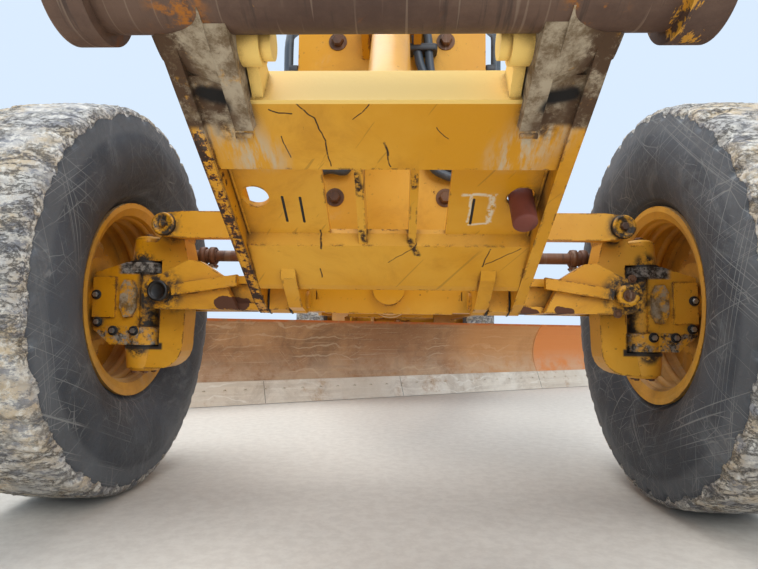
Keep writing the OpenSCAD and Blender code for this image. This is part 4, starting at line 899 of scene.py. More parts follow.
def tyre_surface(along, around, seed, caked):
    """Section: bead to bead over the tread, resampled by length. Radius minus blocks plus clay."""
    whole = np.vstack([section, section[-2::-1] * [1, -1]])
    length = np.r_[0, np.cumsum(np.linalg.norm(np.diff(whole, axis=0), axis=1))]
    s = np.linspace(0, length[-1], along)
    radius = np.interp(s, length, whole[:, 0])
    across = np.interp(s, length, whole[:, 1])
    for _ in range(2):
        radius[1:-1] = (radius[:-2] + 2 * radius[1:-1] + radius[2:]) / 4
        across[1:-1] = (across[:-2] + 2 * across[1:-1] + across[2:]) / 4
    angle = np.arange(around) / around * 2 * np.pi
    r, a = radius[:, None] + 0 * angle, angle + 0 * radius[:, None]
    x = across[:, None] + 0 * angle
    tread = np.clip((r - 0.625) / 0.025, 0, 1)
    lean = a + 0.8 * np.abs(x) * np.sign(x) + (x > 0) * np.pi / block_count
    wave = (lean * block_count / (2 * np.pi)) % 1.0
    gap = np.clip((0.15 - np.abs(wave - 0.5)) / 0.05, 0, 1)
    inner = np.clip((np.abs(x) - 0.070) / 0.03, 0, 1)
    cut = gap * inner * tread
    ring = np.stack([x, np.cos(a) * tyre_r, np.sin(a) * tyre_r], -1)
    lumps, fine = clay_lumps(ring, 0.17, seed), clay_lumps(ring, 0.035, seed + 1)
    fill = np.clip(caked + 0.35 * lumps, 0, 1)
    depth = 0.022 * cut * (1 - 0.85 * fill)
    rough = tread * (0.0030 * np.clip(fine + 0.6 * lumps, -1.2, 1) - 0.0036)
    rings = 0.0012 * np.sin((r - 0.35) * 2 * np.pi / 0.011) * np.clip(
        (r - 0.578) / 0.006, 0, 1) * np.clip((0.606 - r) / 0.004, 0, 1)
    protector = 0.006 * np.exp(-((r - 0.372) / 0.007) ** 2)
    edge = r - 0.648 + 0.010 * lumps + 0.005 * fine + 0.012 * (caked - 0.5)
    clay = np.clip(0.5 + edge / 0.016 + 0.25 * (gap - 0.4), 0, 1)
    r = r - depth + rough
    shoulder = tread * cut * 0.012 * (1 - 0.6 * fill) * (np.abs(x) > 0.14)
    x = x + np.sign(x) * (rings + protector - shoulder)
    return r, a, x, clay


def casing_inside(along):
    """The inner wall of the casing, from bead to bead, so the tyre is closed."""
    t = np.linspace(0, np.pi, along)
    return bead_r + 0.30 * np.sin(t) ** 0.8, -0.108 * np.cos(t) * (1 + 0.45 * np.sin(t))


def keep_number(piece, name, values):
    """Stores one number at each point of a piece, where a material can read it."""
    mark = piece.data.attributes.new(name, "FLOAT", "POINT")
    mark.data.foreach_set("value", np.asarray(values, np.float32))


def make_tyre(node, body, side, along, around, seed, caked):
    """Puts the surface and its lining round a packed tyre's middle, in that tyre's stead."""
    low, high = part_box(node)
    centre = np.array([(low.x + high.x) / 2, (low.y + high.y) / 2, (low.z + high.z) / 2])
    r, a, x, clay = tyre_surface(along, around, seed, caked)
    outside = np.stack([side * x, r * np.cos(a), r * np.sin(a)], -1)
    inner_r, inner_x = casing_inside(lining_rows)
    inner_a = a[:lining_rows]
    inside = np.stack([-side * inner_x[:, None] + 0 * inner_a, inner_r[:, None] * np.cos(inner_a),
                       inner_r[:, None] * np.sin(inner_a)], -1)
    surface = np.concatenate([outside, inside[::-1]])
    faces = grid_faces(along + lining_rows, around, wrap_rows=True, wrap_columns=True)
    if side > 0:
        faces = faces[:, ::-1]
    tyre = make_piece(node + "_treaded", [(surface + centre, faces)], tyre_rubber, body)
    lining = np.zeros(lining_rows * around)
    keep_number(tyre, "clay", np.concatenate([clay.ravel(), lining]))
    keep_number(tyre, "reach", np.concatenate([r.ravel(), lining + bead_r]))
    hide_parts(node)


# %% [markdown]
# ## Rubber and clay
# The rubber is a dark blue grey, scraped pale in a web of fine straight lines and in rings where
# it rolled along ruts. Straight scratches come from noise that is drawn out a hundredfold, once
# for each direction. Clay covers the tread like weathered rock, with dark cracks that run
# across the tread.

# %% Finish of the tyres


def make_tyre_rubber():
    """Grey rubber with scratches and ruts, and mud wherever the clay number is high."""
    f = Finish("tyre_rubber", rgb(50, 54, 60), 0.6)
    clay = f.add("ShaderNodeAttribute", attribute_name="clay").outputs["Fac"]
    reach = f.add("ShaderNodeAttribute", attribute_name="reach").outputs["Fac"]
    f.coat(f.rise(f.noise(2.2, 6, 0.6), 0.40, 0.65), rgb(72, 76, 82))
    f.coat(f.times(f.band(reach, 0.585, 0.640, 0.012), 0.5), rgb(104, 106, 108), 0.7)
    chalky = f.rise(f.noise(3.0, 8, 0.78, twist=1.2), 0.50, 0.74)
    f.coat(f.times(chalky, 0.55), rgb(132, 134, 134), 0.8)
    thin = []
    bent = f.vector("ADD", f.place, f.vector("SCALE", f.add("ShaderNodeTexNoise", {
        "Vector": f.place, "Scale": 5.0}).outputs["Color"], Scale=0.05))
    for size, width in ((5.5, 0.011), (9.0, 0.012), (15.0, 0.018)):
        cells = f.add("ShaderNodeTexVoronoi", {"Vector": bent, "Scale": size},
                      feature="DISTANCE_TO_EDGE").outputs["Distance"]
        part = f.rise(f.noise(size * 0.45, 5, 0.7), 0.48, 0.62)
        thin.append(f.times(f.rise(cells, width, width * 0.3), part))
    for turn, along, across in ((0.35, 1.0, 260), (1.30, 0.8, 240), (2.45, 1.1, 280)):
        drawn_out = f.stretched(6.0, along, across, (turn, 0, 0))
        thin.append(f.rise(f.noise(1.0, 1, 0.5, drawn_out), 0.675, 0.70))
    ruts = f.noise(1.0, 3, 0.6, f.add("ShaderNodeCombineXYZ", {
        0: f.times(reach, 170.0), 1: f.noise(1.3, 2)}).outputs[0])
    thin.append(f.times(f.rise(ruts, 0.64, 0.70), 0.6))
    web = f.times(f.most(*thin), f.rise(f.noise(2.6, 4), 0.34, 0.56))
    f.coat(f.times(web, 0.6), rgb(150, 150, 146), 0.75, -0.1)
    mud = f.blend(f.rise(f.noise(4.5, 7, 0.7), 0.42, 0.62), rgb(186, 182, 176), rgb(198, 178, 148))
    mud = f.blend(f.rise(f.noise(22, 9, 0.82), 0.47, 0.60), mud, rgb(222, 216, 204))
    seams = f.rise(f.noise(1.0, 9, 0.8, f.stretched(10, 24, 24)), 0.50, 0.58)
    mud = f.blend(f.times(seams, 0.75), mud, rgb(112, 114, 122))
    cracked = f.noise(1.0, 9, 0.78, f.stretched(9, 26, 26), 0.25)
    near = f.math("ABSOLUTE", f.math("SUBTRACT", cracked, 0.5))
    cracks = f.times(f.rise(near, 0.030, 0.006), f.rise(f.noise(6, 4), 0.36, 0.52))
    mud = f.blend(f.times(cracks, 0.75), mud, rgb(86, 80, 76))
    pits = f.rise(f.noise(46, 8, 0.8), 0.56, 0.62)
    mud = f.blend(f.times(pits, 0.6), mud, rgb(104, 98, 92))
    ragged = f.math("ADD", clay, f.times(f.math("SUBTRACT", f.noise(30, 8, 0.8), 0.5), 1.1))
    covered = f.rise(ragged, 0.46, 0.56)
    splashed = f.times(f.rise(f.noise(2.3, 9, 0.8, twist=0.8), 0.60, 0.70),
                       f.rise(reach, 0.40, 0.60), 0.5)
    f.coat(splashed, rgb(150, 148, 142), 0.9, 0.05)
    f.coat(covered, mud, 0.95, 0.7)
    lumps = f.math("SUBTRACT", f.math("ADD", f.noise(40, 8, 0.78), f.noise(11, 6, 0.7)), cracks)
    f.relief(f.times(lumps, f.math("ADD", covered, 0.06)))
    return f.done(0.8, 0.008)


tyre_rubber = make_tyre_rubber()

# %% Make the six tyres
make_tyre("tyre_front_left", "wheel_front_left", -1, 90, 640, 3, 0.85)
make_tyre("tyre_front_right", "wheel_front_right", 1, 90, 640, 8, 0.55)
rear_wheels = [(row, name, side) for row in (1, 2) for side, name in sides]
for number, (row, name, side) in enumerate(rear_wheels):
    make_tyre(f"tyre_{row}_{name}", f"wheel_{row}_{name}", side, 64, 384, 20 + number, 0.5)
print("six tyres")

# %% [markdown]
# ## Wheels
# The rim is a deep barrel with rolled steps, and on its outer side a ring of nuts holds it to
# the hub. The steps and the hub cap are turned profiles. The nuts are one hexagon, placed by an
# array of angles.

# %% Steps, nuts and caps of a wheel
barrel_r, disc_out = 0.2955, 82
nut_circle, nut_count = 0.168, 20
cap_circle, cap_count = 0.118, 10
valve_angle = 1.4
hub_profile = [(0.150, 0.0), (0.150, 0.006), (0.138, 0.012), (0.090, 0.014), (0.084, 0.030),
               (0.060, 0.036), (0.0, 0.038)]
front_track, rear_track, wheelbase, tandem_base = 1055, 1035, 6120, 1524


def wheel_trim(body, x, y, side, hub_out):
    """All of a wheel's extras in one piece; x and y are its middle, in mm from the front axle."""
    out = (side, 0, 0)
    shapes, middle = [], at(x, y, axle_z)

    def along_axle(local, radius=0.0, angle=0.0):
        return middle + [side * local * MM, radius * math.cos(angle), radius * math.sin(angle)]

    for local, height in ((-92, 0.009), (-52, 0.014), (8, 0.010)):
        foot, waist, top = barrel_r + 0.002, barrel_r - height * 0.6, barrel_r - height
        step = [(foot, -0.016), (waist, -0.011), (top, -0.004), (top, 0.004), (waist, 0.011),
                (foot, 0.016)]
        shapes.append(turned(step, along_axle(local), out, 72))
    shapes.append(turned(hub_profile, along_axle(hub_out), out, 48))
    shapes += bolt_circle(along_axle(disc_out), out, nut_circle, nut_count, math.pi / nut_count,
                          0.030, 0.024)
    shapes += bolt_circle(along_axle(hub_out + 8), out, cap_circle, cap_count, 0.0, 0.019, 0.010)
    valve = [along_axle(local, radius, valve_angle)
             for local, radius in ((96, 0.286), (110, 0.270), (124, 0.262))]
    shapes.append(hose(valve, 0.004, 8, 10))
    make_piece(f"{body}_trim", shapes, wheel_paint, body)


for side, name in sides:
    wheel_trim(f"wheel_front_{name}", side * front_track, 0, side, 175)
for row, name, side in rear_wheels:
    wheel_y = wheelbase + (row - 1.5) * tandem_base
    wheel_trim(f"wheel_{row}_{name}", side * rear_track, wheel_y, side, 165)
print("trim on six wheels")

# %% [markdown]
# ## Bolts, caps and pins of the front axle
# The heads that show in front are turned profiles: a cap with a rolled rim and a bolt in its
# middle on each end of the lean bar, an empty greasy pin on the left and a capped one on the
# right where the castings lean, and domes over the kingpins.

# %% Nose bolts
nose_bolts = []
for x in (-165, 165):
    for z in (975, 1460):
        nose_bolts += bolt(at(x, -350, z), ahead, 0.032, 0.020)
make_piece("nose_bolts", nose_bolts, bolt_rust, "front_frame", False)

# %% Caps and pins
cap_profile = [(0.0385, -0.010), (0.0385, 0.002), (0.035, 0.004), (0.030, 0.004), (0.028, 0.001),
               (0.0, 0.001)]
dome_profile = [(0.046, -0.004), (0.044, 0.004), (0.034, 0.010), (0.016, 0.013), (0.0, 0.014)]
low_cap_profile = [(0.050, -0.003), (0.050, 0.006), (0.044, 0.010), (0.018, 0.011), (0.0, 0.011)]
gap_profile = [(0.0386, -0.0098), (0.0402, -0.0098), (0.0402, -0.002), (0.0386, 0.001),
               (0.0386, -0.0098)]
seal_profile = [(0.060, -0.0045), (0.064, 0.0), (0.060, 0.0045), (0.030, 0.0045),
                (0.030, -0.0045), (0.060, -0.0045)]
washer_profile = [(0.017, -0.001), (0.017, 0.003), (0.013, 0.005), (0.0, 0.005)]
knuckle_bolts = [(1036, 691, -66), (1028, 595, -66), (976, 565, -56), (898, 565, -64)]
for side, name in sides:
    bar_end = at(side * lean_pin_x, lean_bar_y, lean_bar_z)
    make_piece(f"lean_bar_cap_{name}", [turned(cap_profile, bar_end, ahead, 40)], casting_paint,
               f"lean_{name}")
    make_piece(f"lean_bar_bolt_{name}", bolt(bar_end + [0, -0.001, 0], ahead, 0.024, 0.013, False),
               casting_paint if side < 0 else bolt_rust, f"lean_{name}", False)
    make_piece(f"lean_bar_gap_{name}", [turned(gap_profile, bar_end, ahead, 40)], grease_black,
               f"lean_{name}")
    kingpin_top, kingpin_low = at(side * kingpin_x, 0, 896), at(side * kingpin_x, 0, 434)
    make_piece(f"kingpin_caps_{name}", [turned(dome_profile, kingpin_top, skyward, 32),
                                        turned(low_cap_profile, kingpin_low, groundward, 32)],
               casting_paint, f"lean_{name}")
    cap_bolts = bolt(kingpin_top + [0, 0, 0.012], skyward, 0.024, 0.010)
    cap_bolts += bolt_circle(kingpin_low + [0, 0, -0.010], groundward, 0.034, 4,
                             math.pi / 2 - 0.6, 0.016, 0.008)
    make_piece(f"kingpin_bolts_{name}", cap_bolts, bolt_rust, f"lean_{name}", False)
    seals = [turned(seal_profile, at(side * kingpin_x, 0, z), skyward, 40)
             for z in (513.0, 810.5)]
    make_piece(f"kingpin_seals_{name}", seals, grease_black, f"knuckle_{name}")
    rings, heads = [], []
    for x, z, y in knuckle_bolts:
        place = at(side * x, y, z)
        rings.append(turned(washer_profile, place, ahead, 20))
        heads += bolt(place + [0, -0.004, 0], ahead, 0.017, 0.010, False)
    make_piece(f"knuckle_washers_{name}", rings, seal_black, f"knuckle_{name}")
    make_piece(f"knuckle_bolts_{name}", heads, fitting_steel, f"knuckle_{name}",
               False)

# %% The two lean pins
left_pin, right_pin = (at(side * lean_pin_x, -168, lean_pin_z) for side, _ in sides)
hollow = [(0.0355, -0.003), (0.0355, 0.006), (0.031, 0.010), (0.026, 0.009), (0.024, 0.004),
          (0.018, 0.001), (0.0, 0.001)]
make_piece("lean_pin_open", [turned(hollow, left_pin, ahead, 36)], grease_black, "axle_beam")
keeper = [(0.0355, -0.003), (0.0355, 0.007), (0.033, 0.010), (0.022, 0.011), (0.020, 0.008),
          (0.0, 0.008)]
make_piece("lean_pin_keeper", [turned(keeper, right_pin, ahead, 36)], beam_paint, "axle_beam")
keeper_bolts = bolt(right_pin + [0, -0.008, 0], ahead, 0.022, 0.012)
for x, z in ((748, 642), (797, 758)):
    keeper_bolts += bolt(at(x, -142, z), ahead, 0.016, 0.008)
make_piece("lean_pin_bolts", keeper_bolts, bolt_rust, "axle_beam", False)
grease_profile = [(0.024, -0.003), (0.040, -0.003), (0.043, 0), (0.040, 0.003), (0.024, 0.003),
                  (0.024, -0.003)]
grease_rings = [turned(grease_profile, hinge_place + [x * MM, 0, 0], (1, 0, 0), 28)
                for x in (274, 335)]
make_piece("hinge_grease", grease_rings + mirrored(grease_rings), grease_black, "front_frame")
print("caps, pins and", 2 * len(knuckle_bolts), "knuckle bolts")

# %% [markdown]
# ## Clamps of the tie rod
# Each end of the tie rod is locked by a split clamp with two ears and one bolt through them. The
# clamp is a ring, the ears are two rounded plates that hang below it.

# %% Tie rod clamps
clamp_profile = [(0.028, -0.011), (0.035, -0.011), (0.036, 0.0), (0.035, 0.011),
                 (0.028, 0.011), (0.028, -0.011)]
shank_profile = [(0.0, 0.0), (0.005, 0.0), (0.005, 0.052), (0.0, 0.052)]
ear_turn = np.array([[0, 0, 1], [1, 0, 0], [0, 1, 0]], float).T
clamps, clamp_bolts = [], []
for x in (-749, -711, 711, 749):
    clamps.append(turned(clamp_profile, at(x, tie_rod_y, tie_rod_z), (1, 0, 0), 32))
    for y in (tie_rod_y - 10, tie_rod_y + 10):
        clamps.append(slab(at(x, y, tie_rod_z - 39), (0.010, 0.030, 0.020), 0.006, ear_turn,
                           0.001))
    bolt_end = at(x, tie_rod_y - 16, tie_rod_z - 43)
    clamp_bolts += bolt(bolt_end, ahead, 0.015, 0.008, False)
    clamp_bolts.append(turned(shank_profile, bolt_end, (0, 1, 0), 12))
make_piece("tie_rod_clamps", clamps, rod_rust, "tie_rod")
make_piece("tie_rod_bolts", clamp_bolts, fitting_steel, "tie_rod", False)
print("tie rod clamps:", len(clamps), "shapes")

# %% [markdown]
# ## Hoses at the nose
# Hoses run down both edges of the nose plate and one pair crosses in front of it, on its way to
# the cylinder of the lift frame. Each is a tube carried along a smooth line, and both its ends
# are on the front frame, so it never has to bend.

# %% Nose hoses
nose_hoses = []
for side in (-1, 1):
    for shift, y in ((0, -330), (10, -296)):
        path = [at(side * (306 + shift), y + 60, 1560), at(side * (318 + shift), y + 10, 1500),
                at(side * (318 + shift), y, 1380), at(side * (320 + shift), y + 4, 1240),
                at(side * (316 + shift), y + 16, 1120), at(side * (300 + shift), y + 70, 1070)]
        nose_hoses.append(hose(path, 0.013, 12, 40))
crossing = [[(70, -366, 1500), (74, -376, 1450), (84, -384, 1380), (110, -386, 1290),
             (108, -380, 1150), (124, -376, 1065), (168, -372, 1036), (214, -362, 1030)],
            [(102, -366, 1500), (110, -376, 1450), (116, -384, 1360), (138, -386, 1260),
             (134, -380, 1160), (142, -376, 1085), (176, -372, 1060), (214, -362, 1056)]]
for path in crossing:
    nose_hoses.append(hose([at(*p) for p in path], 0.013, 12, 60))
nose_hoses.append(hose([at(-214, -362, 1052), at(-176, -374, 1056), at(-140, -374, 1050),
                        at(-128, -364, 1062)], 0.015, 12, 24))
make_piece("nose_hoses", nose_hoses, hose_black, "front_frame")
clips = []
for z in (1380, 1200):
    for side in (-1, 1):
        clips.append(slab(at(side * 303, -314, z), (0.034, 0.060, 0.022), 0.008))
for x, z in ((92, 1420), (126, 1150)):
    clips.append(slab(at(x, -374, z), (0.090, 0.050, 0.020), 0.010))
make_piece("hose_clips", clips, dark_casting, "front_frame")
print(len(nose_hoses), "hoses at the nose")

# %% [markdown]
# ## Fitting of the lift frame's cylinder
# The barrel of the short cylinder slopes down behind the box. An elbow stands on its front side,
# which is a bent tube between two hexagonal nuts.

# %% Elbow and caps on the barrel
barrel_tilt = math.radians(41)
barrel_way = np.array([0, -math.sin(barrel_tilt), -math.cos(barrel_tilt)])
barrel_front = np.array([0, -math.cos(barrel_tilt), math.sin(barrel_tilt)])
elbow_foot = at(-10, -420, 1490) + barrel_way * 0.100 + barrel_front * 0.050
elbow = [elbow_foot, elbow_foot + barrel_front * 0.020, elbow_foot + barrel_front * 0.034
         + barrel_way * -0.008, elbow_foot + barrel_front * 0.036 + barrel_way * -0.040]
fittings = [hose(elbow, 0.010, 12, 24)]
fittings += bolt(elbow_foot, barrel_front, 0.030, 0.014, False)
fittings += bolt(elbow[-1], -barrel_way, 0.028, 0.020, False)
make_piece("hitch_elbow", fittings, fitting_steel, "hitch_barrel")
print("elbow on the short cylinder")

# %% [markdown]
# ## Welds and slots of the lift frame
# Fillet welds run where the box meets the rails and round the cradles. A weld is a thin ridge
# along a path with a ripple in it, half sunk in the corner. The narrow slots of the plates are
# not cut: each is a dark inlay a third of a millimetre proud, painted shade that stands for the
# opening.

# %% Weld beads and slots
welds = []
weld_x, plate_w = 334, -14
for side in (-1, 1):
    for radius, stops in ((0.005, (548, 600, 650, 688)), (0.004, (150, 230, 320, 430, 540))):
        welds.append(bead([on_slope(side * weld_x, u, plate_w) for u in stops], radius))
    welds.append(bead([on_slope(side * x, 640, -80) for x in (243, 258, 275)], 0.005))
make_piece("frame_welds", welds, lift_paint, "lift_frame")
slope_turn = np.array([[1, 0, 0], [0, -math.cos(slope_angle), math.sin(slope_angle)],
                       [0, -math.sin(slope_angle), -math.cos(slope_angle)]]).T
# Painted shade: the slots are not cut, so dark inlays stand for their shaded openings.
slot_shades = [slab(on_slope(x, u, plate_w), (0.006, 0.084, 0.0006), 0.0028, slope_turn, 0.0001)
         for x, u in ((-235, 381), (-195, 379), (193, 376))]
make_piece("plate_slots", slot_shades, seal_black, "lift_frame")
print(len(welds), "welds and", len(slot_shades), "slot_shades")

# %% [markdown]
# ## Fittings of the blade
# The cutting edge is bolted on with countersunk heads 152 mm apart, and comes in four lengths
# with thin joints between them. Past a curved weld the blade carries its extension.

# %% Edge bolts, joints and the weld of the extension
face_y_mid, face_z_mid, face_r = -270, 340, 430
edge_top, edge_back, edge_rake = 168, 324.9, 0.4364
bolt_pitch, bolt_z = 152, 104


def on_blade(x, y, z):
    """A place in the blade's own millimetres, turned by the blade's angle about the circle."""
    cos, sin = math.cos(blade_turn), math.sin(blade_turn)
    return circle_place + np.array([x * cos - y * sin, x * sin + y * cos, z]) * MM


def face_y(z):
    """The moldboard's face is an arc: y = y0 - (r - sqrt(r^2 - (z - z0)^2))."""
    return face_y_mid - (face_r - math.sqrt(face_r ** 2 - (z - face_z_mid) ** 2))


def edge_y(z):
    """The edge's face is flat and rakes forward as it goes down."""
    return -edge_back - edge_rake * (edge_top - z)


edge_slope = math.atan(edge_rake)
edge_out = on_blade(0, -math.cos(edge_slope), -math.sin(edge_slope)) - circle_place
edge_out /= np.linalg.norm(edge_out)
head_profile = [(0.013, 0.0), (0.0125, 0.0012), (0.009, 0.0012), (0.008, -0.002), (0.0, -0.002)]
edge_heads = [turned(head_profile, on_blade(x, edge_y(bolt_z) - 0.2, bolt_z), edge_out, 16)
              for x in range(-2550, 2230, bolt_pitch)]
make_piece("edge_bolts", edge_heads, edge_pale, "moldboard")
joints = []
for x in (-1340, -123, seam_x * 1000):
    line = [on_blade(x, edge_y(z), z) for z in (6, 60, 110, 164)]
    joints.append(hose(line, 0.0016, 6, 12))
make_piece("edge_joints", joints, seal_black, "moldboard")
weld_line = [on_blade(seam_x * 1000 + 25 * ((z - 400) / 240) ** 2, face_y(z) - 1, z)
             for z in range(178, 636, 24)]
make_piece("extension_weld", [bead(weld_line, 0.007)], blade_brown, "moldboard")
print(len(edge_heads), "edge bolts")

# %% [markdown]
# ## The circle's teeth and the drive
# A pinion turns the circle through teeth on its inner side. The teeth are one closed ring whose
# inner radius goes in and out with the angle, flat on the tips and in the roots.

# %% Teeth and gearbox bolts
tooth_count, tooth_samples = 96, 8
root_r, back_r, tooth_deep = 0.6548, 0.6565, 0.019
teeth_low, teeth_high = 748, 770
angle = np.arange(tooth_count * tooth_samples) / (tooth_count * tooth_samples) * 2 * np.pi
phase = (angle * tooth_count / (2 * np.pi)) % 1.0
front = root_r - tooth_deep * np.clip((0.36 - np.abs(phase - 0.5)) / 0.12, 0, 1)
back = np.full(len(angle), back_r)
teeth = np.stack([
    np.stack([radius * np.cos(angle), radius * np.sin(angle), angle * 0 + height * MM], -1)
    for radius, height in ((back, teeth_low), (front, teeth_low), (front, teeth_high),
                           (back, teeth_high))])
make_piece("circle_teeth", [(teeth + circle_place, grid_faces(4, len(angle), True, True))],
           grease_black, "circle", False)
gearbox_place, gearbox_r = at(0, 2660, 1110), 0.104
gearbox_bolts = []
for k in range(10):
    way = k / 10 * 2 * math.pi
    around = [gearbox_r * math.cos(way), gearbox_r * math.sin(way), 0]
    gearbox_bolts += bolt(gearbox_place + around, skyward, 0.022, 0.010)
make_piece("gearbox_bolts", gearbox_bolts, bolt_rust, "drawbar", False)
print(tooth_count, "teeth on the circle")

# %% [markdown]
# ## Pipes of the cylinders and hoses along the neck
# Five barrels carry a pipe from their foot to the gland at their far end, held in two small
# blocks. Hoses run back along both sides of the gooseneck to the saddle.

# %% Barrel pipes and neck hoses


def barrel_pipe(name, body, start, end, radius, low, high, side):
    """Two blocks and a pipe beside the line from start to end, low and high in metres along it."""
    start, end = np.asarray(start), np.asarray(end)
    along = (end - start) / np.linalg.norm(end - start)
    off = np.asarray(side, float) - np.dot(side, along) * along
    off /= np.linalg.norm(off)
    line = [start + along * (low + (high - low) * t) + off * (radius + 0.014)
            for t in (0, 0.3, 0.7, 1)]
    over = np.cross(off, along)
    frame_turn = np.stack([along, over, off], 1)
    shapes = [hose(line, 0.008, 10, 12)]
    for reached in (low, high):
        block = start + along * reached + off * (radius + 0.008)
        shapes.append(slab(block, (0.044, 0.036, 0.030), 0.008, frame_turn))
    make_piece(name, shapes, frame_paint, body)


for side, name in sides:
    barrel_pipe(f"lift_pipe_{name}", f"lift_barrel_{name}", at(side * 690, 2800, 2020),
                at(side * 690, 2990, 1040), 0.062, 0.16, 0.49, ahead)
    barrel_pipe(f"articulation_pipe_{name}", f"articulation_barrel_{name}",
                at(side * 360, 5445, 1080), at(side * 360, 4640, 1080), 0.046, 0.10, 0.37, skyward)
barrel_pipe("shift_pipe", "shift_barrel", at(470, 3170, 1455), at(-430, 3170, 1030), 0.046,
            0.10, 0.56, ahead)
saddle_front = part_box("saddle")[0].y
neck_hoses, neck_clips = [], []
for side in (-1, 1):
    for drop in (0, 34):
        path = [at(side * 163, 420, 1420 - drop), at(side * 165, 900, 1560 - drop),
                at(side * 164, 1500, 1640 - drop), at(side * 165, 2050, 1700 - drop),
                np.array([side * 0.164, saddle_front + 0.004, 1.705 - drop * MM])]
        neck_hoses.append(hose(path, 0.0125, 12, 60))
    for y, z in ((900, 1543), (1500, 1623), (2050, 1683)):
        neck_clips.append(slab(at(side * 158, y, z), (0.036, 0.030, 0.090), 0.006))
make_piece("neck_hoses", neck_hoses, hose_black, "front_frame")
make_piece("neck_clips", neck_clips, fitting_steel, "front_frame")
print("pipes on five barrels,", len(neck_hoses), "hoses on the neck")

# %% [markdown]
# ## Rubber round the panes
# A pane sits in a black rubber frame. One function makes it from the four corners of the
# opening: each corner gives an inner and an outer point, and the ring between them is closed.
# The doors' handles and the rails beside them are bent tubes.

# %% Gaskets, handles and grab rails


def front_pane(x_low, x_high, low, high):
    """Corners of an upright pane that faces ahead; low and high are pairs of Y and Z."""
    return [at(x_low, *low), at(x_high, *low), at(x_high, *high), at(x_low, *high)]


def side_pane(x, y_pair, z_pair):
    """Corners of a pane that faces to the side."""
    (y_low, y_high), (z_low, z_high) = y_pair, z_pair
    return [at(x, y_low, z_low), at(x, y_high, z_low), at(x, y_high, z_high), at(x, y_low, z_high)]


def upright_line(side, y, stops):
    """A line in the plane of one Y, from pairs of X and Z."""
    return [at(side * x, y, z) for x, z in stops]


grip_y, rail_y = 3586, 3480
grip_stops = [(757, 2216), (792, 2232), (794, 2300), (792, 2368), (757, 2384)]
rail_stops = [(758, 1790), (806, 1806), (812, 1900), (812, 2380), (806, 2474), (758, 2490)]
cab_gaskets = [gasket(front_pane(-680, 680, (3347, 2400), (3331, 3190)), 0.020, 0.012),
               gasket(front_pane(-640, 640, (4790, 2260), (4790, 3190)), 0.020, 0.012)]
for side in (-1, 1):
    foot_pane = front_pane(side * 180, side * 680, (3411, 1730), (3352, 2320))
    cab_gaskets.append(gasket(foot_pane, 0.018, 0.012))
    cab_gaskets.append(gasket(side_pane(side * 760, (4440, 4700), (2200, 3230)), 0.018, 0.010))
make_piece("cab_gaskets", cab_gaskets, seal_black, "front_frame", False)
for side, name in sides:
    door_pane = side_pane(side * 756, door_pane_y, door_pane_z)
    make_piece(f"door_gasket_{name}", [gasket(door_pane, 0.018, 0.010)], seal_black,
               f"door_{name}", False)
    handle = [hose(upright_line(side, grip_y, grip_stops), 0.009, 12, 32)]
    handle += [slab(at(side * 758, grip_y, z), (0.012, 0.034, 0.060), 0.004)
               for z in (2200, 2400)]
    make_piece(f"door_handle_{name}", handle, black_trim, f"door_{name}")
    rail = hose(upright_line(side, rail_y, rail_stops), 0.013, 12, 60)
    make_piece(f"grab_rail_{name}", [rail], black_trim, "front_frame")
print("gaskets round", len(cab_gaskets) + 2, "panes")

# %% [markdown]
# ## Lamps, mirrors and wipers
# A lens bulges a little and sits in a rim. The mirror's face is a thin plate on the side that
# the driver sees. Each wiper is an arm and a blade that lie on the glass and turn on a hub.

# %% Lenses, mirror faces, wipers
lens = [(0.070, 0.0), (0.066, 0.005), (0.050, 0.011), (0.028, 0.015), (0.0, 0.017)]
rim = [(0.082, -0.004), (0.083, 0.006), (0.078, 0.010), (0.070, 0.006), (0.070, -0.004),
       (0.082, -0.004)]
lamp_spots = [at(side * 340, 540, 1785) for side in (-1, 1)]
make_piece("lamp_lenses", [turned(lens, spot, ahead, 40) for spot in lamp_spots], lens_clear,
           "front_frame")
make_piece("lamp_rims", [turned(rim, spot, ahead, 40) for spot in lamp_spots], seal_black,
           "front_frame")
work_spots = [at(side * x, 3322, 3268) for side in (-1, 1) for x in (430, 600)]
work_bodies = [slab(spot + [0, 0.012, 0], (0.120, 0.080, 0.040), 0.014, facing(ahead))
               for spot in work_spots]
make_piece("work_lamps", work_bodies, black_trim, "front_frame")
work_glass = [slab(spot + [0, -0.009, 0], (0.104, 0.064, 0.004), 0.010, facing(ahead))
              for spot in work_spots]
make_piece("work_lenses", work_glass, lens_clear, "front_frame")
mirror_plates = [slab(at(side * 950, 3301, 2905), (0.148, 0.278, 0.003), 0.012, facing((0, 1, 0)))
                 for side in (-1, 1)]
make_piece("mirror_faces", mirror_plates, mirror_face, "front_frame")
wiper_hub = [(0.016, -0.004), (0.016, 0.016), (0.010, 0.020), (0.0, 0.020)]
wiper_arm = [(0, 3332, 2375), (60, 3336, 2560), (118, 3342, 2760)]
wiper_blade = [(40, 3355, 2520), (110, 3351, 2740), (180, 3348, 2960)]
wipers = []
for hub_x in (-330, 330):
    wipers.append(turned(wiper_hub, at(hub_x, 3346, 2375), ahead, 20))
    for stops, radius in ((wiper_arm, 0.006), (wiper_blade, 0.005)):
        wipers.append(hose([at(hub_x + x, y, z) for x, y, z in stops], radius, 8, 16))
make_piece("wipers", wipers, black_trim, "front_frame")
print("lamps, mirrors and wipers")

# %% [markdown]
# ## The driver's seat
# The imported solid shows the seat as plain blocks, so soft forms take its place. A cushion is a
# rounded box: each coordinate is a power of a sine or cosine, which keeps the sides full and
# the corners soft. Two sewn channels are pressed into it, and a cord runs round its middle.

# %% Cushions
cab_deck = 1690.6


def power(value, exponent):
    """A power that keeps the sign of its base."""
    return np.sign(value) * np.abs(value) ** exponent


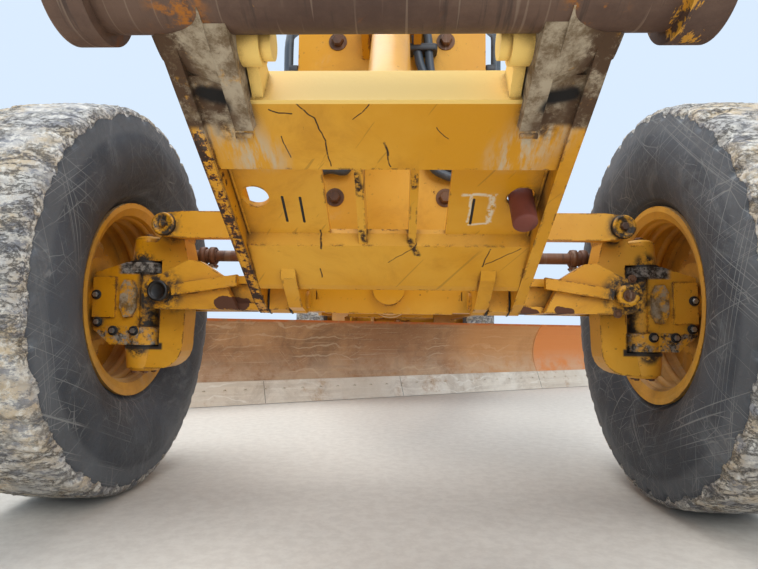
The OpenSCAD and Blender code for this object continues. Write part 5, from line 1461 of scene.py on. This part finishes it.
def cushion(centre, half, turn_x=0.0, channels=(-0.085, 0.085)):
    """x = a C(v) C(u), y = b C(v) S(u), z = c S(v), with C and S as powers of cosine and sine."""
    around, rows = 96, 41
    u = np.linspace(0, 2 * np.pi, around, endpoint=False)[None]
    v = np.linspace(-np.pi / 2, np.pi / 2, rows)[:, None]
    x = half[0] * power(np.cos(v), 0.45) * power(np.cos(u), 0.4)
    y = half[1] * power(np.cos(v), 0.45) * power(np.sin(u), 0.4)
    z = half[2] * power(np.sin(v), 0.7) + 0 * u
    crown = 1 - 0.35 * np.maximum((x / half[0]) ** 2, (y / half[1]) ** 2)
    z = np.where(z > 0, z * crown, z)
    for line in channels:
        z -= np.where(z > 0, 0.008 * np.exp(-((x - line) / 0.009) ** 2), 0)
    equator = np.stack([x[rows // 2], y[rows // 2], z[rows // 2]], -1)
    cos, sin = math.cos(turn_x), math.sin(turn_x)
    tilt = np.array([[1, 0, 0], [0, cos, -sin], [0, sin, cos]]).T
    points = np.stack([x, y, z], -1) @ tilt + centre
    cord = hose(np.vstack([equator, equator[:1]]) @ tilt + centre, 0.006, 8, 160)
    return (points.reshape(-1, 3), grid_faces(rows, around, wrap_columns=True)), cord


lean_back = math.radians(95.7)
cushions = (("seat_pan", at(0, 4320, cab_deck + 358), (0.246, 0.236, 0.066), 0.0),
            ("seat_back", at(0, 4592, cab_deck + 728), (0.226, 0.320, 0.050), lean_back))
for name, centre, half, tilt in cushions:
    pad, cord = cushion(centre, half, tilt)
    piece = make_piece(name, [pad], seat_cloth, "front_frame")
    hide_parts("cab_fittings")
    piping = make_piece(name + "_piping", [cord], seal_black, "front_frame")
    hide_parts("cab_fittings")

# %% Pedestal, consoles, wheel and mat
ring_r, grip_r, wheel_tilt = 0.175, 0.014, math.radians(24)
boot_profile = [(0.090, -0.004), (0.088, 0.030), (0.060, 0.075), (0.044, 0.150), (0.038, 0.160)]
boss_profile = [(0.040, -0.024), (0.044, 0.004), (0.030, 0.012), (0.0, 0.014)]
knob_profile = [(0.0, -0.014), (0.011, -0.010), (0.014, 0.0), (0.011, 0.012), (0.0, 0.016)]
bellows = [(0.0, 0.0), (0.110, 0.0), (0.110, 0.020)]
for k in range(6):
    bellows += [(0.088, 0.036 + k * 0.040), (0.102, 0.056 + k * 0.040)]
bellows += [(0.095, 0.288), (0.0, 0.288)]
column_foot, column_head = at(0, 3750, cab_deck + 4), at(0, 3902, cab_deck + 652)
wheel_way = np.array([0, math.sin(wheel_tilt), math.cos(wheel_tilt)])
wheel_centre = at(0, 3905, cab_deck + 660) + wheel_way * 0.013
grip_ring = [(ring_r + grip_r * math.cos(a), grip_r * math.sin(a))
             for a in np.linspace(0, 2 * np.pi, 13)]
driving = [turned(bellows, at(0, 4330, cab_deck), skyward, 40),
           slab(at(0, 4322, cab_deck + 290), (0.420, 0.400, 0.016), 0.020),
           hose([column_foot, (column_foot * 2 + column_head) / 3, column_head], 0.036, 20, 24),
           turned(boot_profile, column_foot, column_head - column_foot, 32),
           turned(grip_ring, wheel_centre, wheel_way, 64),
           turned(boss_profile, wheel_centre, wheel_way, 32)]
level_way = np.array([1.0, 0, 0])
for k in range(3):
    way = k * 2 * math.pi / 3 - math.pi / 2
    across = level_way * math.cos(way) + np.cross(wheel_way, level_way) * math.sin(way)
    driving.append(hose([wheel_centre + across * r for r in (0.030, 0.100, 0.170)], 0.009, 10, 12))
console_x, lever_step = 315, 42
for side in (-1, 1):
    x = side * console_x
    driving.append(slab(at(x, 4420, cab_deck + 240), (0.070, 0.140, 0.480), 0.014))
    driving.append(slab(at(x, 4310, cab_deck + 520), (0.090, 0.370, 0.076), 0.030, edge=0.014))
    for k in range(4):
        foot = at(x, 4140 + k * lever_step, cab_deck + 540)
        lever = [foot, foot + [0, -0.004, 0.040], foot + [0, -0.010, 0.075]]
        driving.append(hose(lever, 0.005, 8, 10))
        driving.append(turned(knob_profile, foot + [0, -0.012, 0.090], skyward, 16))
stand = make_piece("driving_stand", driving, black_trim, "front_frame")
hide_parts("cab_fittings")
mat = slab(at(0, 4080, cab_deck + 1), (1.300, 1.120, 0.006), 0.030)
mat = make_piece("floor_mat", [mat], floor_mat, "front_frame")
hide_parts("cab_fittings")
print("seat, consoles and wheel stand for the plain fittings")

# %% [markdown]
# ## Steps and hood
# The treads are ribbed for grip. The hood breathes through slanted louvres at its sides and a
# barred opening at its rear, with the dark radiator behind the bars.

# %% Treads, grille and louvres
ribs = [slab(at(655, y, z), (0.150, 0.010, 0.006), 0.004)
        for z in (901, 1151, 1401) for y in range(4010, 4230, 34)]
make_piece("step_ribs", ribs + mirrored(ribs), fitting_steel, "front_frame", False)
slat_cos, slat_sin = math.cos(math.radians(35)), math.sin(math.radians(35))
slat_turn = np.array([[slat_cos, 0, slat_sin], [0, 1, 0], [-slat_sin, 0, slat_cos]])
slats = [slab(at(501, 7090, z), (0.050, 0.698, 0.004), 0.002, slat_turn, 0.001)
         for z in range(1402, 1853, 90)]
make_piece("hood_louvres", slats + mirrored(slats), rear_paint, "rear_frame",
           False)
grille = [slab(at(0, 7622, z), (0.858, 0.010, 0.022), 0.004) for z in range(1340, 1881, 36)]
grille += [slab(at(x, 7614, 1605), (0.014, 0.010, 0.568), 0.004) for x in (-215, 0, 215)]
make_piece("hood_grille", grille, black_trim, "rear_frame", False)
radiator = slab(at(0, 7570, 1605), (0.850, 0.030, 0.560), 0.004)
make_piece("radiator", [radiator], seal_black, "rear_frame", False)
seams = []
for y in (6000, 6650):
    seams.append(slab(at(519.9, y, 1630), (0.002, 0.005, 0.620), 0.0009))
    for z in (1420, 1840):
        seams.append(slab(at(523, y + 60, z), (0.010, 0.070, 0.030), 0.004))
make_piece("hood_seams", seams + mirrored(seams), seal_black, "rear_frame", False)
print(len(slats) * 2, "louvres and", len(grille), "bars")

# %% Tail lamps, bands and covers
tail_profile = [(0.046, -0.004), (0.046, 0.012), (0.040, 0.016), (0.022, 0.020), (0.0, 0.021)]
tail = [turned(tail_profile, at(side * 475, 7640, 1900), (0, 1, 0), 32) for side in (-1, 1)]
make_piece("tail_lamps", tail, lens_red, "rear_frame")
stack_x, stack_y = 230, 5790
bands = []
for x, z, radius in ((stack_x, 2250, 0.076), (stack_x, 2600, 0.076),
                     (-stack_x, 2482, 0.106), (-stack_x, 2590, 0.106)):
    inner, outer = radius - 0.002, radius + 0.004
    band_profile = [(inner, -0.012), (outer, -0.012), (outer, 0.012), (inner, 0.012)]
    bands.append(turned(band_profile, at(x, stack_y, z), skyward, 40))
bands.append(turned([(0.108, -0.004), (0.100, 0.016), (0.060, 0.034), (0.0, 0.040)],
                    at(-stack_x, stack_y, 2610), skyward, 40))
make_piece("stack_bands", bands, stack_steel, "rear_frame")
cover_z, cover_circle, cover_count = 700, 0.082, 8
cover_profile = [(0.098, -0.003), (0.098, 0.008), (0.092, 0.012), (0.030, 0.014), (0.0, 0.014)]
for side, name in sides:
    out = (side, 0, 0)
    cover = [turned(cover_profile, at(side * 790, wheelbase, cover_z), out, 40)]
    cover += bolt_circle(at(side * 802, wheelbase, cover_z), out, cover_circle, cover_count,
                         math.pi / cover_count, 0.016, 0.007)
    make_piece(f"tandem_cover_{name}", cover, rear_paint, f"tandem_{name}")
print("tail lamps, bands and tandem covers")

# %% [markdown]
# ## Floor and light
# The machine stands on plain pale ground under an overcast sky. One large lamp behind the camera
# and above it lifts the shaded nose a little, and another overhead keeps the top bright. Both
# are large enough to leave no hard shadow.

# %% Floor, sky and lamps
floor_half, floor_z = 60.0, -0.002
floor_mesh = bpy.data.meshes.new("floor")
floor_corners = [(x * floor_half, y * floor_half, floor_z)
                 for x, y in ((-1, -1), (1, -1), (1, 1), (-1, 1))]
floor_mesh.from_pydata(floor_corners, [], [(0, 1, 2, 3)])
floor = bpy.data.objects.new("floor", floor_mesh)
bpy.context.scene.collection.objects.link(floor)
ground = Finish("pale_ground", rgb(200, 192, 180), 0.95)
ground.coat(ground.rise(ground.noise(24, 6, 0.7), 0.35, 0.65), rgb(210, 203, 191))
floor_mesh.materials.append(ground.done(0.1))

world = bpy.data.worlds.new("overcast")
bpy.context.scene.world = world
world.use_nodes = True
sky = world.node_tree.nodes["Background"]
sky.inputs["Color"].default_value = rgb(206, 222, 240)
sky.inputs["Strength"].default_value = 1.16


def area_light(name, place, target, size, watts):
    """A round lamp that looks from its place at its target."""
    light = bpy.data.lights.new(name, "AREA")
    light.shape, light.size, light.energy = "DISK", size, watts
    lamp = bpy.data.objects.new(name, light)
    aim = (Vector(target) - Vector(place)).to_track_quat("-Z", "Y")
    lamp.matrix_world = Matrix.Translation(place) @ aim.to_matrix().to_4x4()
    bpy.context.scene.collection.objects.link(lamp)


area_light("soft_front", (2.5, axle_y - 6.0, 4.5), (0, axle_y, 0.6), size=5.0, watts=255)
area_light("soft_top", (-3.0, -1.0, 9.0), (0, 0, 1.0), size=9.0, watts=830)
bpy.context.scene.view_settings.view_transform = "Standard"
print("floor, sky and two lamps")
